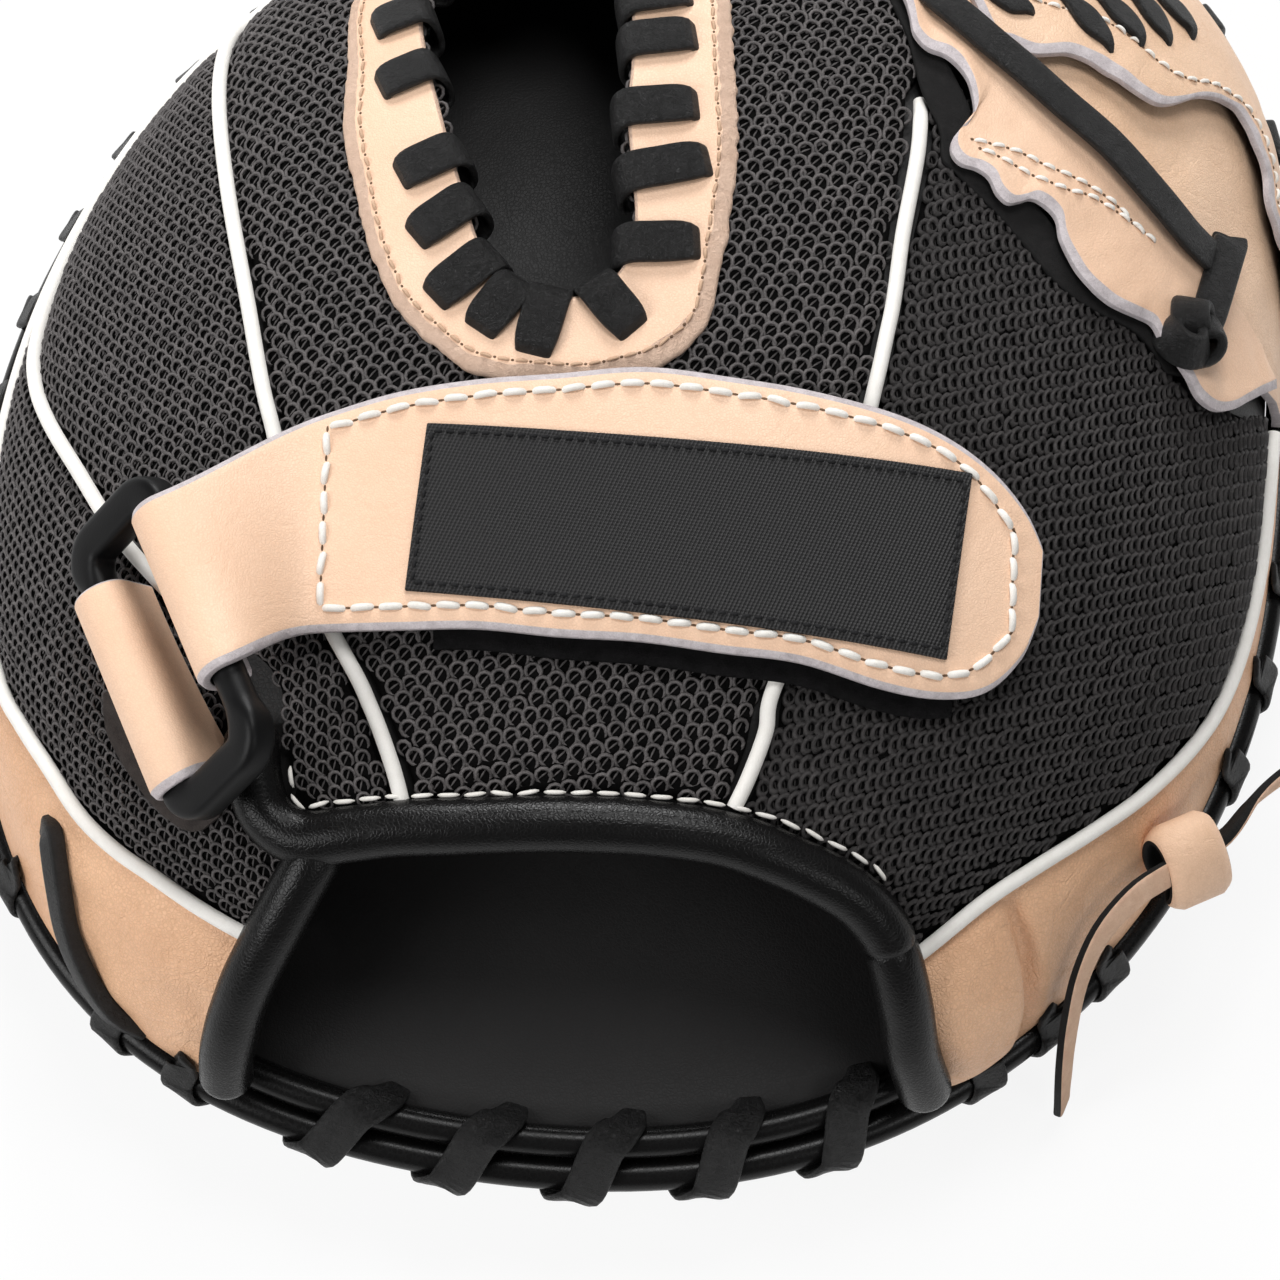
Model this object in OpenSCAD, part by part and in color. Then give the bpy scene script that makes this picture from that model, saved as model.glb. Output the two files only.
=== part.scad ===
// Left-hand baseball catcher's mitt, laid on its catching face.
// X runs toward the thumb, Y toward the fingertips, Z up through the back of the hand.

/* [Mitt outline] */
// Base radius of the rim seam
rim_radius = 124.5; // [110:0.5:140]
// Extra length at the fingertips
finger_reach = 12; // [4:0.5:20]
// How far the web stands out past the base rim
web_reach = 29; // [16:0.5:36]
// Extra radius at the little-finger heel corner
heel_corner = 15; // [6:0.5:20]
// Extra radius along the heel
heel_reach = 5; // [0:0.5:10]

/* [Depth] */
// Height of the rim seam above the resting face
rim_z = 30; // [26:0.5:36]
// Height of the crown of the back above the rim seam
crown = 74; // [64:0.5:82]
// Depth of the ball pocket in the catching face
pocket_depth = 28; // [18:0.5:30]

/* [Leather and fabric] */
// Thickness of the catching-face leather
palm_t = 2.6; // [2:0.1:3.2]
// Thickness of the spacer mesh panels
mesh_t = 1.9; // [1.4:0.1:2.2]
// Thickness of the wrist strap leather
strap_t = 2.1; // [1.6:0.1:2.4]
// Width of the flat lacing
lace_w = 7; // [5:0.1:8]
// Thickness of the flat lacing
lace_t = 1.5; // [1.1:0.1:1.8]
// Radius of the piping cord between the panels
piping_r = 1.4; // [1:0.05:1.5]
// Radius of the padded roll round the wrist opening
binding_r = 4.6; // [3.8:0.1:4.8]
// Radius of the welt along the rim
welt_r = 3.2; // [2.6:0.1:3.4]

/* [Closure] */
// Radius of the round bars of the strap ring
bar_r = 3.2; // [2.6:0.1:3.4]
// Distance between the two bars of the ring
ring_span = 22; // [20:0.2:26]
// Length of the ring along its bars, outside
ring_length = 62; // [56:0.5:66]
// Width of the strap where it folds round the ring
fold_w = 37; // [30:0.5:38]
// Width of the tab that holds the ring
tab_w = 36.5; // [28:0.5:40]

/* [Hidden] */
$fn = 48;
web_angle = 44;
web_spread = 28;
corner_angle = 222;
corner_spread = 30;
heel_angle = 285;
heel_spread = 40;
shoulder = 2 / 2.6;
ridge = 0.84;
ridge_flat = 0.4;
turn_fit = 0.5;
layer = 0.5;

// Heights of the layers above the outer face of the mesh.
lining_top = -mesh_t - 1.2;
lining_t = 1.9;
trim_t = 1.5;
tape_h = piping_r + 0.3;
tape_t = 1;
hook_h = tape_h + tape_t + 0.6;
strap_h = hook_h + tape_t + 0.6;
label_h = strap_h + strap_t + 0.4;
label_t = 0.8;
web_t = 1.9;
binding_h = 1.5;
lace_gap = layer + lace_t / 2;

// Welts: middle of the section from the rim seam, outward and up.
rim_out = 0.5;
rim_centre = [rim_out, rim_z];
heel_r = 3;
heel_inset = 4.6;
heel_rise = 5.2;
heel_centre = [-heel_inset, rim_z + heel_rise];

// Half of the gap left for a piping cord, and for a roll, on the unit chart.
cord_gap = 0.013;

// Curves on the back, as [angle, latitude] pairs in degrees, wrist end first.
finger_line = [[-119, 57], [-122.5, 60], [-129, 63.5], [-136.5, 65.5], [-156, 66.5], [-175, 65],
  [-184.5, 63], [-198.5, 58.5], [-213, 48.5], [-224, 33], [-231.5, 14.5]];
thumb_line = [[-76, 58.5], [-73, 61], [-68.5, 64.5], [-64, 68], [-35, 74], [0.5, 75], [17.5, 74],
  [33, 72], [44, 67], [50.5, 62]];
pinky_line = [[-157.5, 53], [-165, 48.5], [-170, 45], [-177, 39.5], [-184, 31.5], [-189, 25], [-194, 20],
  [-202, 16.5], [-212, 14.5]];
finger_seam = [[-127, 35.5], [-131.5, 35], [-136.5, 34], [-141, 32], [-145.5, 30], [-151, 28],
  [-156, 24.5], [-161, 20], [-168, 16.5], [-178, 13.5], [-192, 12.5], [-212, 12], [-232, 12], [-252, 12],
  [-268, 12], [-281, 12]];
thumb_seam = [[-61.5, 34], [-53.5, 35], [-47, 33.5], [-40, 30], [-33.5, 25.5], [-26, 20], [-20.5, 16.5],
  [-14, 14.5], [-6, 13.5], [6, 13]];
wrist_line = [[-139, 55.5], [-135, 52], [-131, 49.5], [-126.5, 49.5], [-122.5, 52], [-117.5, 54.5],
  [-110, 56.5], [-100, 58], [-88.5, 58], [-78.5, 56], [-71.5, 52], [-66, 46], [-64, 40]];
finger_side_line = [[-124.5, 46.5], [-124.5, 37.5], [-124.5, 28], [-124, 16.5], [-123.5, 8.5]];
thumb_side_line = [[-64, 35.5], [-64.5, 28], [-65, 20], [-64.5, 8.5]];

// Edges of the panels that do not run along a piping.
center_wrist = [[-117.5, 57.5], [-110, 59.5], [-100, 61], [-88.5, 61], [-78.5, 59]];
center_web = [[51, 62.5], [56, 55.5], [63.5, 46], [71, 31], [77.5, 14]];
center_top = [[84, 13], [98, 13], [112, 13], [126, 13]];
slit_finger = [[-127.5, 53], [-133, 55], [-137, 58], [-143, 59.5], [-151, 57]];
slit_pinky = [[-128, 46], [-132.5, 47], [-137, 49.5], [-142, 52.5], [-149, 54.5]];
thumb_corner = [[-60, 41.5], [-60.5, 47], [-66.5, 54.5]];
thumb_flap = [[44, 60.5], [33, 60], [25.5, 57.5], [18, 53.5], [12, 47.5], [7.5, 41], [5.5, 33], [5.5, 23]];
hole_loop = [[117.5, 83.5], [129.5, 81.5], [132, 78], [128, 74.5], [122.5, 69], [117.5, 61.5], [113, 51],
  [108.5, 44.5], [102, 41.5], [95.5, 43.5], [91.5, 50], [91, 58.5], [91.5, 68], [93, 74.5], [93.5, 81],
  [102.5, 83.5]];
trim_loop = [[174.5, 87], [173, 82], [166, 78.5], [158, 74], [148, 69], [140, 64], [133.5, 58], [127, 52],
  [120.5, 42], [112, 34.5], [100, 32], [87, 36.5], [80, 48], [77, 59], [74, 66], [68.5, 73.5], [63.5, 78.5],
  [51, 84.5], [39, 87], [61, 89.5]];
whip_angles = [18.5, 45.5, 62, 78, 96, 113, 128, 151.5, 232, 255, 266.5, 274, 281, 288.5, 296, 307, 329];
web_inner = [[61.5, 45], [56, 52], [48, 56], [40, 57.5], [33, 57], [25.5, 55], [18, 51], [13, 45],
  [9.5, 37]];
web_rim = [[76, 3], [67, 3], [58, 3], [50, 3], [42, 3], [34, 3], [26, 3], [17, 3], [8.5, 3]];
cap_inner = [[61, 40], [53, 47], [45, 49.5], [38, 45.5], [33.5, 38], [29, 29], [23, 22], [18, 14]];
cap_rim = [[71, 4], [63, 4], [54, 4], [46, 4], [38, 4], [30, 4], [23, 4], [15, 4]];
flap_inner = [[58, 55], [52.5, 59.5], [44.5, 60.5], [39.5, 64.5], [33, 64], [25.5, 60.5], [18, 57],
  [13.5, 51.5], [10, 46], [4.5, 40.5], [4.5, 34], [9, 24.5]];
flap_outer = [[60.5, 47.5], [55.5, 51], [49, 53], [43, 53.5], [37, 52.5], [32, 50.5], [27, 47.5],
  [22.5, 43.5], [18.5, 38.5], [16, 33.5], [14, 29.5], [12, 25]];
tie_line = [[53.5, 58.5], [43.5, 58.5], [33, 54.5], [25.5, 47.5], [19.5, 40.5], [14, 38.5], [11.5, 41.5]];
strap_top = [[-20.5, 57], [-16.5, 60], [-12.5, 64], [-9, 68.5], [-6, 73.5], [-2.5, 80], [2, 85], [42, 89.5],
  [173.5, 87], [179, 82], [182, 76.5], [185, 71]];
strap_bottom = [[-29, 54.5], [-34.5, 54], [-40.5, 55], [-45.5, 58], [-51, 62.5], [-59.5, 68.5], [-72, 72],
  [-87.5, 74], [-105, 74], [-120.5, 73], [-132, 70], [-140.5, 65.5]];

// Free ends of the thumb tie, from the knot outward.
tie_tail = [[104.5, -76, 53], [100.5, -79, 56.5], [94.5, -83.5, 58.5], [88.5, -90, 57], [85, -96.5, 51.5],
  [83.5, -102.5, 43.5], [83, -108, 34], [83.5, -111, 20.5], [84.5, -111, 4.5]];
tie_end = [[106.5, -74, 51], [110.5, -71, 47.5], [115, -66.5, 45], [119.5, -60, 41], [126, -53, 33.5],
  [134, -46, 23.5], [143, -40, 12], [150, -38, 4]];

// Ring frame: first bar over the mesh at ring_seat, second bar ring_span away along ring_side.
ring_clear = 6;
ring_seat = lift(chart([-149.3, 49.1]), bar_r + ring_clear);
ring_axis = unit([17.4, -41.7, 6.5]);
ring_lean = [11.6, 7.05, 14.2];
ring_side = unit(ring_lean - (ring_lean * ring_axis) * ring_axis);
ring_normal = cross(ring_axis, ring_side);
far_bar = ring_seat + ring_span * ring_side;

// The part stands centred on the middle of its plan outline.
plan_shift = let (
    edge = [for (a = [0:1:359]) (rim_r(a) + rim_centre[0] + welt_r) * out(a)],
    xs = [for (p = edge) p[0]],
    ys = [for (p = edge) p[1]]
  ) -[max(xs) + min(xs), max(ys) + min(ys), 0] / 2;

function unit(v) = v / norm(v);
function lerp(p, q, t) = p + (q - p) * t;
function turn(d) = d - 360 * floor((d + 180) / 360);
function bump(a, at, spread) = exp(-pow(turn(a - at) / spread, 2));
function smooth(t) = let (c = max(0, min(1, t))) c * c * (3 - 2 * c);

// Radius of the rim seam at one angle.
function rim_r(a) = rim_radius + finger_reach * pow(max(sin(a), 0), 4)
  + web_reach * bump(a, web_angle, web_spread)
  + heel_corner * bump(a, corner_angle, corner_spread)
  + heel_reach * bump(a, heel_angle, heel_spread);

// The back is a dome. The chart is a unit disc: crown at the middle, rim seam at radius 1.
function chart(p) = (1 - p[1] / 90) * [cos(p[0]), sin(p[0])];
function charts(list) = [for (p = list) chart(p)];
function dome(a, lat) = let (r = rim_r(a) * pow(max(cos(lat), 0), shoulder))
  [r * cos(a), r * sin(a), rim_z + crown * sin(lat)];
function dome_at(q) = dome(atan2(q[1], q[0]), 90 * (1 - norm(q)));
function dome_normal(q) = let (e = 0.001)
  unit(cross(dome_at(q + [e, 0]) - dome_at(q - [e, 0]), dome_at(q + [0, e]) - dome_at(q - [0, e])));
function lift(q, h) = dome_at(q) + h * dome_normal(q);

// The catching face: s from 1 at the rim seam to 0 on the ridge it rests on, then to -1 at mid pocket.
function palm(a, s) = let (
    rho = s > 0 ? ridge + (1 - ridge) * sin(90 * s) : ridge * (1 + s),
    z = s > 0 ? rim_z * (1 - cos(90 * s)) : pocket_depth * (1 - cos(180 * s)) / 2
  ) [rim_r(a) * rho * cos(a), rim_r(a) * rho * sin(a), max(0, z - ridge_flat)];
function palm_normal(a, s) = let (e = 0.01)
  unit(cross(palm(a + 0.5, s) - palm(a - 0.5, s), palm(a, s + e) - palm(a, s - e)));

// Smooth curve of n steps through a list of points.
function held(p, i) = p[max(0, min(len(p) - 1, i))];
function spline_at(p, t) = let (
    i = min(floor(t), len(p) - 2),
    f = t - i,
    a = held(p, i - 1),
    b = p[i],
    c = p[i + 1],
    d = held(p, i + 2)
  ) 0.5 * (2 * b + (c - a) * f + (2 * a - 5 * b + 4 * c - d) * f * f + (3 * b - a - 3 * c + d) * f * f * f);
function spline(p, n) = [for (k = [0:n]) spline_at(p, k * (len(p) - 1) / n)];

// A chart curve moved sideways, to the left of its direction.
function beside(c, d) = [for (k = [0:len(c) - 1]) let (t = unit(held(c, k + 1) - held(c, k - 1)))
  c[k] + d * [-t[1], t[0]]];

// Where a ray from point c at angle th leaves a closed chart loop.
function ray(loop, c, th) = let (
    d = [cos(th), sin(th)],
    hits = [for (k = [0:len(loop) - 1]) let (
        p = loop[k] - c,
        e = loop[(k + 1) % len(loop)] - loop[k],
        den = d[0] * e[1] - d[1] * e[0],
        s = (p[0] * d[1] - p[1] * d[0]) / den
      ) if (s >= 0 && s <= 1) (p[0] * e[1] - p[1] * e[0]) / den]
  ) c + max(hits) * d;

// Rows of chart points: across a strip between two curves, or outward round a hole.
function between(c, d, m) = [for (i = [0:len(c) - 1]) [for (j = [0:m]) lerp(c[i], d[i], j / m)]];
function around(inner, outer, c, n, m) = [for (i = [0:n - 1]) let (
    th = 360 * i / n,
    p = ray(inner, c, th),
    q = ray(outer, c, th)
  ) [for (j = [0:m]) lerp(p, q, j / m)]];
function lifted(rows, h) = [for (r = rows) [for (q = r) lift(q, h)]];

function reversed(f) = [for (k = [len(f) - 1:-1:0]) f[k]];

// Closed skin between two matching grids of points.
// closed joins the last row to the first; capped fills the inner end with a fan.
module slab(top, bottom, closed = false, capped = false) {
  n = len(top);
  m = len(top[0]);
  last = closed ? n - 1 : n - 2;
  half = n * m;
  mid = floor(n / 2);
  facing = cross(top[mid][0] - top[mid - 1][0], top[mid][1] - top[mid][0]) * (top[mid][0] - bottom[mid][0]);
  function id(i, j) = (i % n) * m + j;
  function quad(a, b, c, d) = [[a, b, c], [a, c, d]];
  centre_top = [for (r = top) 1] * [for (r = top) r[m - 1]] / n;
  centre_bottom = [for (r = bottom) 1] * [for (r = bottom) r[m - 1]] / n;
  upper = [for (i = [0:last], j = [0:m - 2]) each
    quad(id(i, j), id(i, j + 1), id(i + 1, j + 1), id(i + 1, j))];
  lower = [for (f = upper) [f[2] + half, f[1] + half, f[0] + half]];
  first_wall = [for (i = [0:last]) each quad(id(i, 0), id(i + 1, 0), id(i + 1, 0) + half, id(i, 0) + half)];
  e = m - 1;
  last_wall = [for (i = [0:last]) each quad(id(i + 1, e), id(i, e), id(i, e) + half, id(i + 1, e) + half)];
  fans = [for (i = [0:last]) each [[id(i, e), 2 * half, id(i + 1, e)],
    [id(i + 1, e) + half, 2 * half + 1, id(i, e) + half]]];
  near_wall = [for (j = [0:m - 2]) each quad(id(0, j + 1), id(0, j), id(0, j) + half, id(0, j + 1) + half)];
  far_wall = [for (j = [0:m - 2]) each
    quad(id(n - 1, j), id(n - 1, j + 1), id(n - 1, j + 1) + half, id(n - 1, j) + half)];
  ends = closed ? [] : concat(near_wall, far_wall);
  faces = concat(upper, lower, first_wall, capped ? fans : last_wall, ends);
  middle = capped ? [centre_top, centre_bottom] : [];
  points = concat([for (r = top) each r], [for (r = bottom) each r], middle);
  polyhedron(points, facing > 0 ? faces : [for (f = faces) reversed(f)], convexity = 10);
}

module chart_sheet(rows, low, high, closed = false) {
  slab(lifted(rows, high), lifted(rows, low), closed);
}

function round_section(r, sides) = [for (k = [0:sides - 1]) r * [cos(360 * k / sides), sin(360 * k / sides)]];
function flat_section(w, t) = [[w / 2, t / 2], [-w / 2, t / 2], [-w / 2, -t / 2], [w / 2, -t / 2]];

// Section swept along a path; ups are the outward directions at the path points.
module sweep(path, ups, section, closed = false) {
  n = len(path);
  m = len(section);
  last = closed ? n - 1 : n - 2;
  function tangent(k) = closed ? path[(k + 1) % n] - path[(k + n - 1) % n]
    : held(path, k + 1) - held(path, k - 1);
  rings = [for (k = [0:n - 1]) let (
      t = unit(tangent(k)),
      side = unit(cross(t, ups[k])),
      up = cross(side, t)
    ) [for (p = section) path[k] + p[0] * side + p[1] * up]];
  walls = [for (i = [0:last], j = [0:m - 1]) let (
      a = i * m + j,
      b = i * m + (j + 1) % m,
      c = ((i + 1) % n) * m + (j + 1) % m,
      d = ((i + 1) % n) * m + j
    ) each [[a, b, c], [a, c, d]]];
  ends = closed ? [] : [[for (j = [m - 1:-1:0]) j], [for (j = [0:m - 1]) (n - 1) * m + j]];
  polyhedron([for (r = rings) each r], concat(walls, ends), convexity = 10);
}

module cord_on_back(line, n, r, h, sides) {
  q = spline(charts(line), n);
  sweep([for (p = q) lift(p, h)], [for (p = q) dome_normal(p)], round_section(r, sides));
}

// Lace lying on the back along a chart line.
module lace_on_back(line, n, h) {
  q = spline(charts(line), n);
  sweep([for (p = q) lift(p, h + lace_t / 2)], [for (p = q) dome_normal(p)], flat_section(lace_w, lace_t));
}

// Lace wraps keep to the vertical plane at each angle b: outward there, and round a welt at angle phi.
function out(b) = [cos(b), sin(b), 0];
function up_at(b, phi) = cos(phi) * out(b) + [0, 0, sin(phi)];
function on_welt(b, c, r, phi) = (rim_r(b) + c[0]) * out(b) + [0, 0, c[1]] + r * up_at(b, phi);

// Height of the palm lining at a share of the rim radius.
lining_mid = pocket_depth + 14;
function lining_z(rho) = rim_z + 5 + (lining_mid - rim_z - 5) * smooth((1 - rho) / 0.5);
function lining_at(a, rho) = rim_r(a) * rho * out(a) + [0, 0, lining_z(rho)];

// Lower end of a wrap, on the catching face.
function palm_end(a, s) = [palm(a, s) + lace_gap * palm_normal(a, s), palm_normal(a, s)];

module wrap(run) {
  sweep([for (p = run) p[0]], [for (p = run) p[1]], flat_section(lace_w, lace_t));
}

// One wrap over the rim welt, from latitude lat on the back, over leather that stands h high.
module rim_wrap(a, skew, lat, h = 0.3, low_s = 0.66) {
  high = [for (t = [0, 0.5]) let (q = chart([a + skew * t * 0.5, lerp(lat, 5, t)]))
    [lift(q, h + lace_gap), dome_normal(q)]];
  turns = [for (k = [0:3]) let (phi = 42 - 30 * k, b = a + skew * (0.4 + 0.1 * k))
    [on_welt(b, rim_centre, welt_r + lace_gap, phi), up_at(b, phi)]];
  wrap(concat(high, turns, [palm_end(a + skew, low_s)]));
}

// One wrap over both heel welts, from a hole in the palm lining.
module heel_wrap(a, skew, low_s = 0.66) {
  hole_back = 17;
  entry = [lining_at(a, 1 - hole_back / rim_r(a)) + [0, 0, lace_gap], [0, 0, 1]];
  inner = [for (k = [0:2]) let (phi = 125 - 32 * k, b = a + skew * (0.2 + 0.15 * k))
    [on_welt(b, heel_centre, heel_r + lace_gap, phi), up_at(b, phi)]];
  outer = [for (k = [0:2]) let (phi = 30 - 32 * k, b = a + skew * (0.62 + 0.12 * k))
    [on_welt(b, rim_centre, welt_r + lace_gap, phi), up_at(b, phi)]];
  wrap(concat([entry], inner, outer, [palm_end(a + skew, low_s)]));
}

// Catching face leather, with its edge cut back where the web is laced in.
function web_cut(a) = smooth((turn(a) - 8) / 8) * smooth((80 - turn(a)) / 8);
function palm_edge(a) = lerp(0.925, 0.42, web_cut(a));
function palm_steps(a) = let (e = palm_edge(a))
  concat([for (t = [0, 0.25, 0.5, 0.75]) lerp(e, 0.1, t)],
    [0.1, 0, -0.07, -0.22, -0.37, -0.53, -0.69, -0.85]);
sectors = 36;
function palm_grid(depth) = [for (i = [0:sectors - 1]) let (a = 360 * i / sectors)
  [for (s = palm_steps(a)) palm(a, s) - depth * palm_normal(a, s)]];

module palm_shell() color("#1b1b1d") slab(palm_grid(0), palm_grid(palm_t), closed = true, capped = true);

module palm_pad() {
  rows = [1, 2, 4, 6, 7, 8, 9, 10, 11];
  gap = palm_t + 0.8;
  low = [for (i = [0:sectors - 1]) let (a = 360 * i / sectors, steps = palm_steps(a))
    [for (k = rows) palm(a, steps[k]) - gap * palm_normal(a, steps[k])]];
  high = [for (r = low) [for (p = r) [p[0], p[1], pad_top(p)]]];
  color("#d8d2c4") slab(high, low, closed = true, capped = true);
}
function pad_top(p) = let (rho = norm([p[0], p[1]]) / rim_r(atan2(p[1], p[0])))
  lining_z(rho) - lining_t - 1.1 - 5 * smooth((rho - 0.88) / 0.06);

module palm_lining() {
  rhos = [0.938, 0.8, 0.65, 0.45, 0.2];
  high = [for (i = [0:sectors - 1]) let (a = 360 * i / sectors) [for (rho = rhos) lining_at(a, rho)]];
  low = [for (r = high) [for (p = r) p - [0, 0, lining_t]]];
  color("#171719") slab(high, low, closed = true, capped = true);
}

// Middle of the finger opening on the chart; the panels round it are built outward from here.
hole_mid = chart([108, 66]);
lining_edge = concat(charts([for (a = [-60:8:228]) [a, 4.5]]),
  charts([[-127.5, 4.5], [-127.5, 22], [-127.5, 44.5], [-132.5, 46], [-137, 48.5], [-142, 51.5], [-146, 57.5],
    [-140, 59.5], [-134, 56], [-128, 53.5], [-121.5, 55], [-117.5, 57.5], [-110, 59.5], [-100, 61],
    [-88.5, 61], [-78.5, 59], [-70.5, 54.5], [-64.5, 47.5], [-61.5, 41], [-61, 30], [-61, 14], [-61, 4.5]]));

module back_lining() {
  hole = beside(concat(charts(hole_loop), [chart(hole_loop[0])]), 0.012);
  rows = around(hole, lining_edge, hole_mid, 48, 6);
  color("#202022") chart_sheet(rows, lining_top - lining_t, lining_top, true);
}

module center_panel() {
  left = beside(spline(charts(finger_line), 14), -cord_gap);
  right = beside(spline(charts(thumb_line), 12), cord_gap);
  edge = concat(charts(center_wrist), right, charts(center_web), charts(center_top), reversed(left));
  color("#141416") chart_sheet(around(charts(hole_loop), edge, hole_mid, 48, 5), -mesh_t, 0, true);
}

module finger_panel() {
  outer = concat(charts(slit_finger), beside(charts(pinky_line), -cord_gap));
  color("#141416")
    chart_sheet(between(spline(outer, 20), beside(spline(charts(finger_line), 20), cord_gap), 6), -mesh_t, 0);
}

module pinky_panel() {
  inner = concat(charts(slit_pinky), beside(charts(pinky_line), cord_gap));
  seam = [for (k = [0:11]) finger_seam[k]];
  color("#141416")
    chart_sheet(between(spline(inner, 20), beside(spline(charts(seam), 20), -cord_gap), 5), -mesh_t, 0);
}

// Its rows turn round two hollow corners, so three stretches are matched one by one.
module thumb_panel() {
  side = beside(charts(thumb_line), -cord_gap);
  seam = beside(charts(thumb_seam), 1.15 * cord_gap);
  tip = side[len(side) - 1];
  function stretch(c, from, to, n) = between(spline(c, n), spline([for (k = [from:to]) seam[k]], n), 7);
  corner = stretch(concat(charts(thumb_corner), [side[0]]), 0, 3, 6);
  middle = stretch(side, 3, 4, 9);
  flap = stretch(concat([tip], charts(thumb_flap)), 4, len(seam) - 1, 9);
  rows = concat([for (k = [0:5]) corner[k]], [for (k = [0:8]) middle[k]], flap);
  color("#141416") chart_sheet(rows, -mesh_t, 0);
}

// Leather strips between the mesh and the rim.
module finger_gusset() {
  seam = spline(charts(finger_seam), 30);
  color("#d2a77c")
    chart_sheet(between(beside(seam, cord_gap), [for (q = seam) 0.968 * unit(q)], 3), -mesh_t, 0.3);
}

module thumb_gusset() {
  seam = spline(charts(thumb_seam), 16);
  color("#d2a77c")
    chart_sheet(between(beside(seam, -cord_gap), [for (q = seam) 0.968 * unit(q)], 3), -mesh_t, 0.3);
}

module finger_piping() color("#eeeae2") cord_on_back(finger_line, 22, piping_r, -0.2, 6);
module thumb_piping() color("#eeeae2") cord_on_back(thumb_line, 18, piping_r, -0.2, 6);
module pinky_piping() color("#eeeae2") cord_on_back(pinky_line, 16, piping_r, -0.2, 6);
module finger_gusset_piping() color("#eeeae2") cord_on_back(finger_seam, 34, piping_r, -0.2, 6);
module thumb_gusset_piping() color("#eeeae2") cord_on_back(thumb_seam, 18, piping_r, -0.2, 6);

module wrist_binding() color("#161618") cord_on_back(wrist_line, 26, binding_r, binding_h, 10);
module finger_side_binding() color("#161618") cord_on_back(finger_side_line, 10, binding_r, binding_h, 10);
module thumb_side_binding() color("#161618") cord_on_back(thumb_side_line, 8, binding_r, binding_h, 10);

module finger_opening_trim() {
  rows = around(charts(hole_loop), charts(trim_loop), hole_mid, 48, 2);
  color("#e3b98f") chart_sheet(rows, layer, layer + trim_t, true);
}

// One wrap over the edge of the finger opening, at chart point p with the leather away from the hole.
module edge_wrap(p, away, reach) {
  high = trim_t + 1 + layer + lace_t / 2;
  low = lining_top - lining_t - layer - lace_t / 2;
  up = dome_normal(p);
  function at(d, h) = lift(p + d * away, h);
  inward = unit(at(-0.02, 0) - at(0.02, 0));
  sweep([at(reach, high), at(-0.006, high), at(-0.015, (high + low) / 2), at(-0.006, low), at(0.03, low)],
    [up, unit(up + inward), inward, unit(inward - up), -up], flat_section(lace_w, lace_t));
}

module finger_opening_lacing() {
  loop = charts(hole_loop);
  color("#101012") for (th = whip_angles) {
    side = ray(loop, hole_mid, th + 2) - ray(loop, hole_mid, th - 2);
    edge_wrap(ray(loop, hole_mid, th), unit([side[1], -side[0]]), th > 270 && th < 300 ? 0.045 : 0.062);
  }
}

module loop_tape() {
  rows = [for (i = [0:12]) let (s = 2.6 + 7 * i / 12) [for (j = [0:4]) strap_q(s, lerp(0.16, 1.12, j / 4))]];
  color("#0e0e10") chart_sheet(rows, tape_h, tape_h + tape_t);
}

function strap_q(s, t) = lerp(spline_at(charts(strap_top), s), spline_at(charts(strap_bottom), s), t);

module hook_tape() {
  rows = [for (i = [0:12]) let (s = 2.2 + 6.4 * i / 12) [for (j = [0:4]) strap_q(s, lerp(0.1, 0.9, j / 4))]];
  color("#0e0e10") chart_sheet(rows, hook_h, hook_h + tape_t);
}

// Strap: lies over the crown, leaves it near the ring, folds round the far bar and turns back under.
strap_rows = 16;
fold_rows = 12;
fold_r = bar_r + turn_fit + strap_t / 2;
fold_start = 45;
fold_turn = 225;
function bar_point(c, y, r, phi) = c - y * ring_axis + r * (cos(phi) * ring_side + sin(phi) * ring_normal);
function fold_phi(k) = fold_start + fold_turn * k / fold_rows;
fold_shift = 5;
function fold_row(r, k) = [for (j = [0:6])
  bar_point(far_bar, fold_shift + fold_w * (0.5 - j / 6), r, fold_phi(k))];
function strap_row(h, i) = [for (j = [0:6]) lift(strap_q(11 * i / strap_rows, j / 6), h)];
function bridge_row(r, h, f) = let (
    a = strap_row(h, strap_rows),
    b = fold_row(r, 0),
    before = strap_row(h, strap_rows - 1)
  ) [for (j = [0:6]) let (
      reach = norm(b[j] - a[j]),
      go = unit(a[j] - before[j]),
      land = unit(cross(ring_axis, cos(fold_start) * ring_side + sin(fold_start) * ring_normal))
    ) pow(1 - f, 3) * a[j] + 3 * pow(1 - f, 2) * f * (a[j] + go * reach / 3)
      + 3 * (1 - f) * f * f * (b[j] - land * reach / 3) + pow(f, 3) * b[j]];
function strap_grid(h, r) = concat([for (i = [0:strap_rows]) strap_row(h, i)],
  [for (f = [0.25, 0.5, 0.75]) bridge_row(r, h, f)], [for (k = [0:fold_rows]) fold_row(r, k)]);

module strap() {
  color("#e8c19a")
    slab(strap_grid(strap_h + strap_t, fold_r + strap_t / 2), strap_grid(strap_h, fold_r - strap_t / 2));
}

module strap_label() {
  rows = [for (i = [0:12]) let (s = 3 + 6.3 * i / 12) [for (j = [0:3]) strap_q(s, lerp(0.17, 0.83, j / 3))]];
  color("#131315") chart_sheet(rows, label_h, label_h + label_t);
}

// Ring: two round bars joined by flat cheeks.
module in_ring_frame() {
  multmatrix([for (k = [0:2]) [ring_side[k], -ring_axis[k], ring_normal[k], ring_seat[k]]]) children();
}

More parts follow.
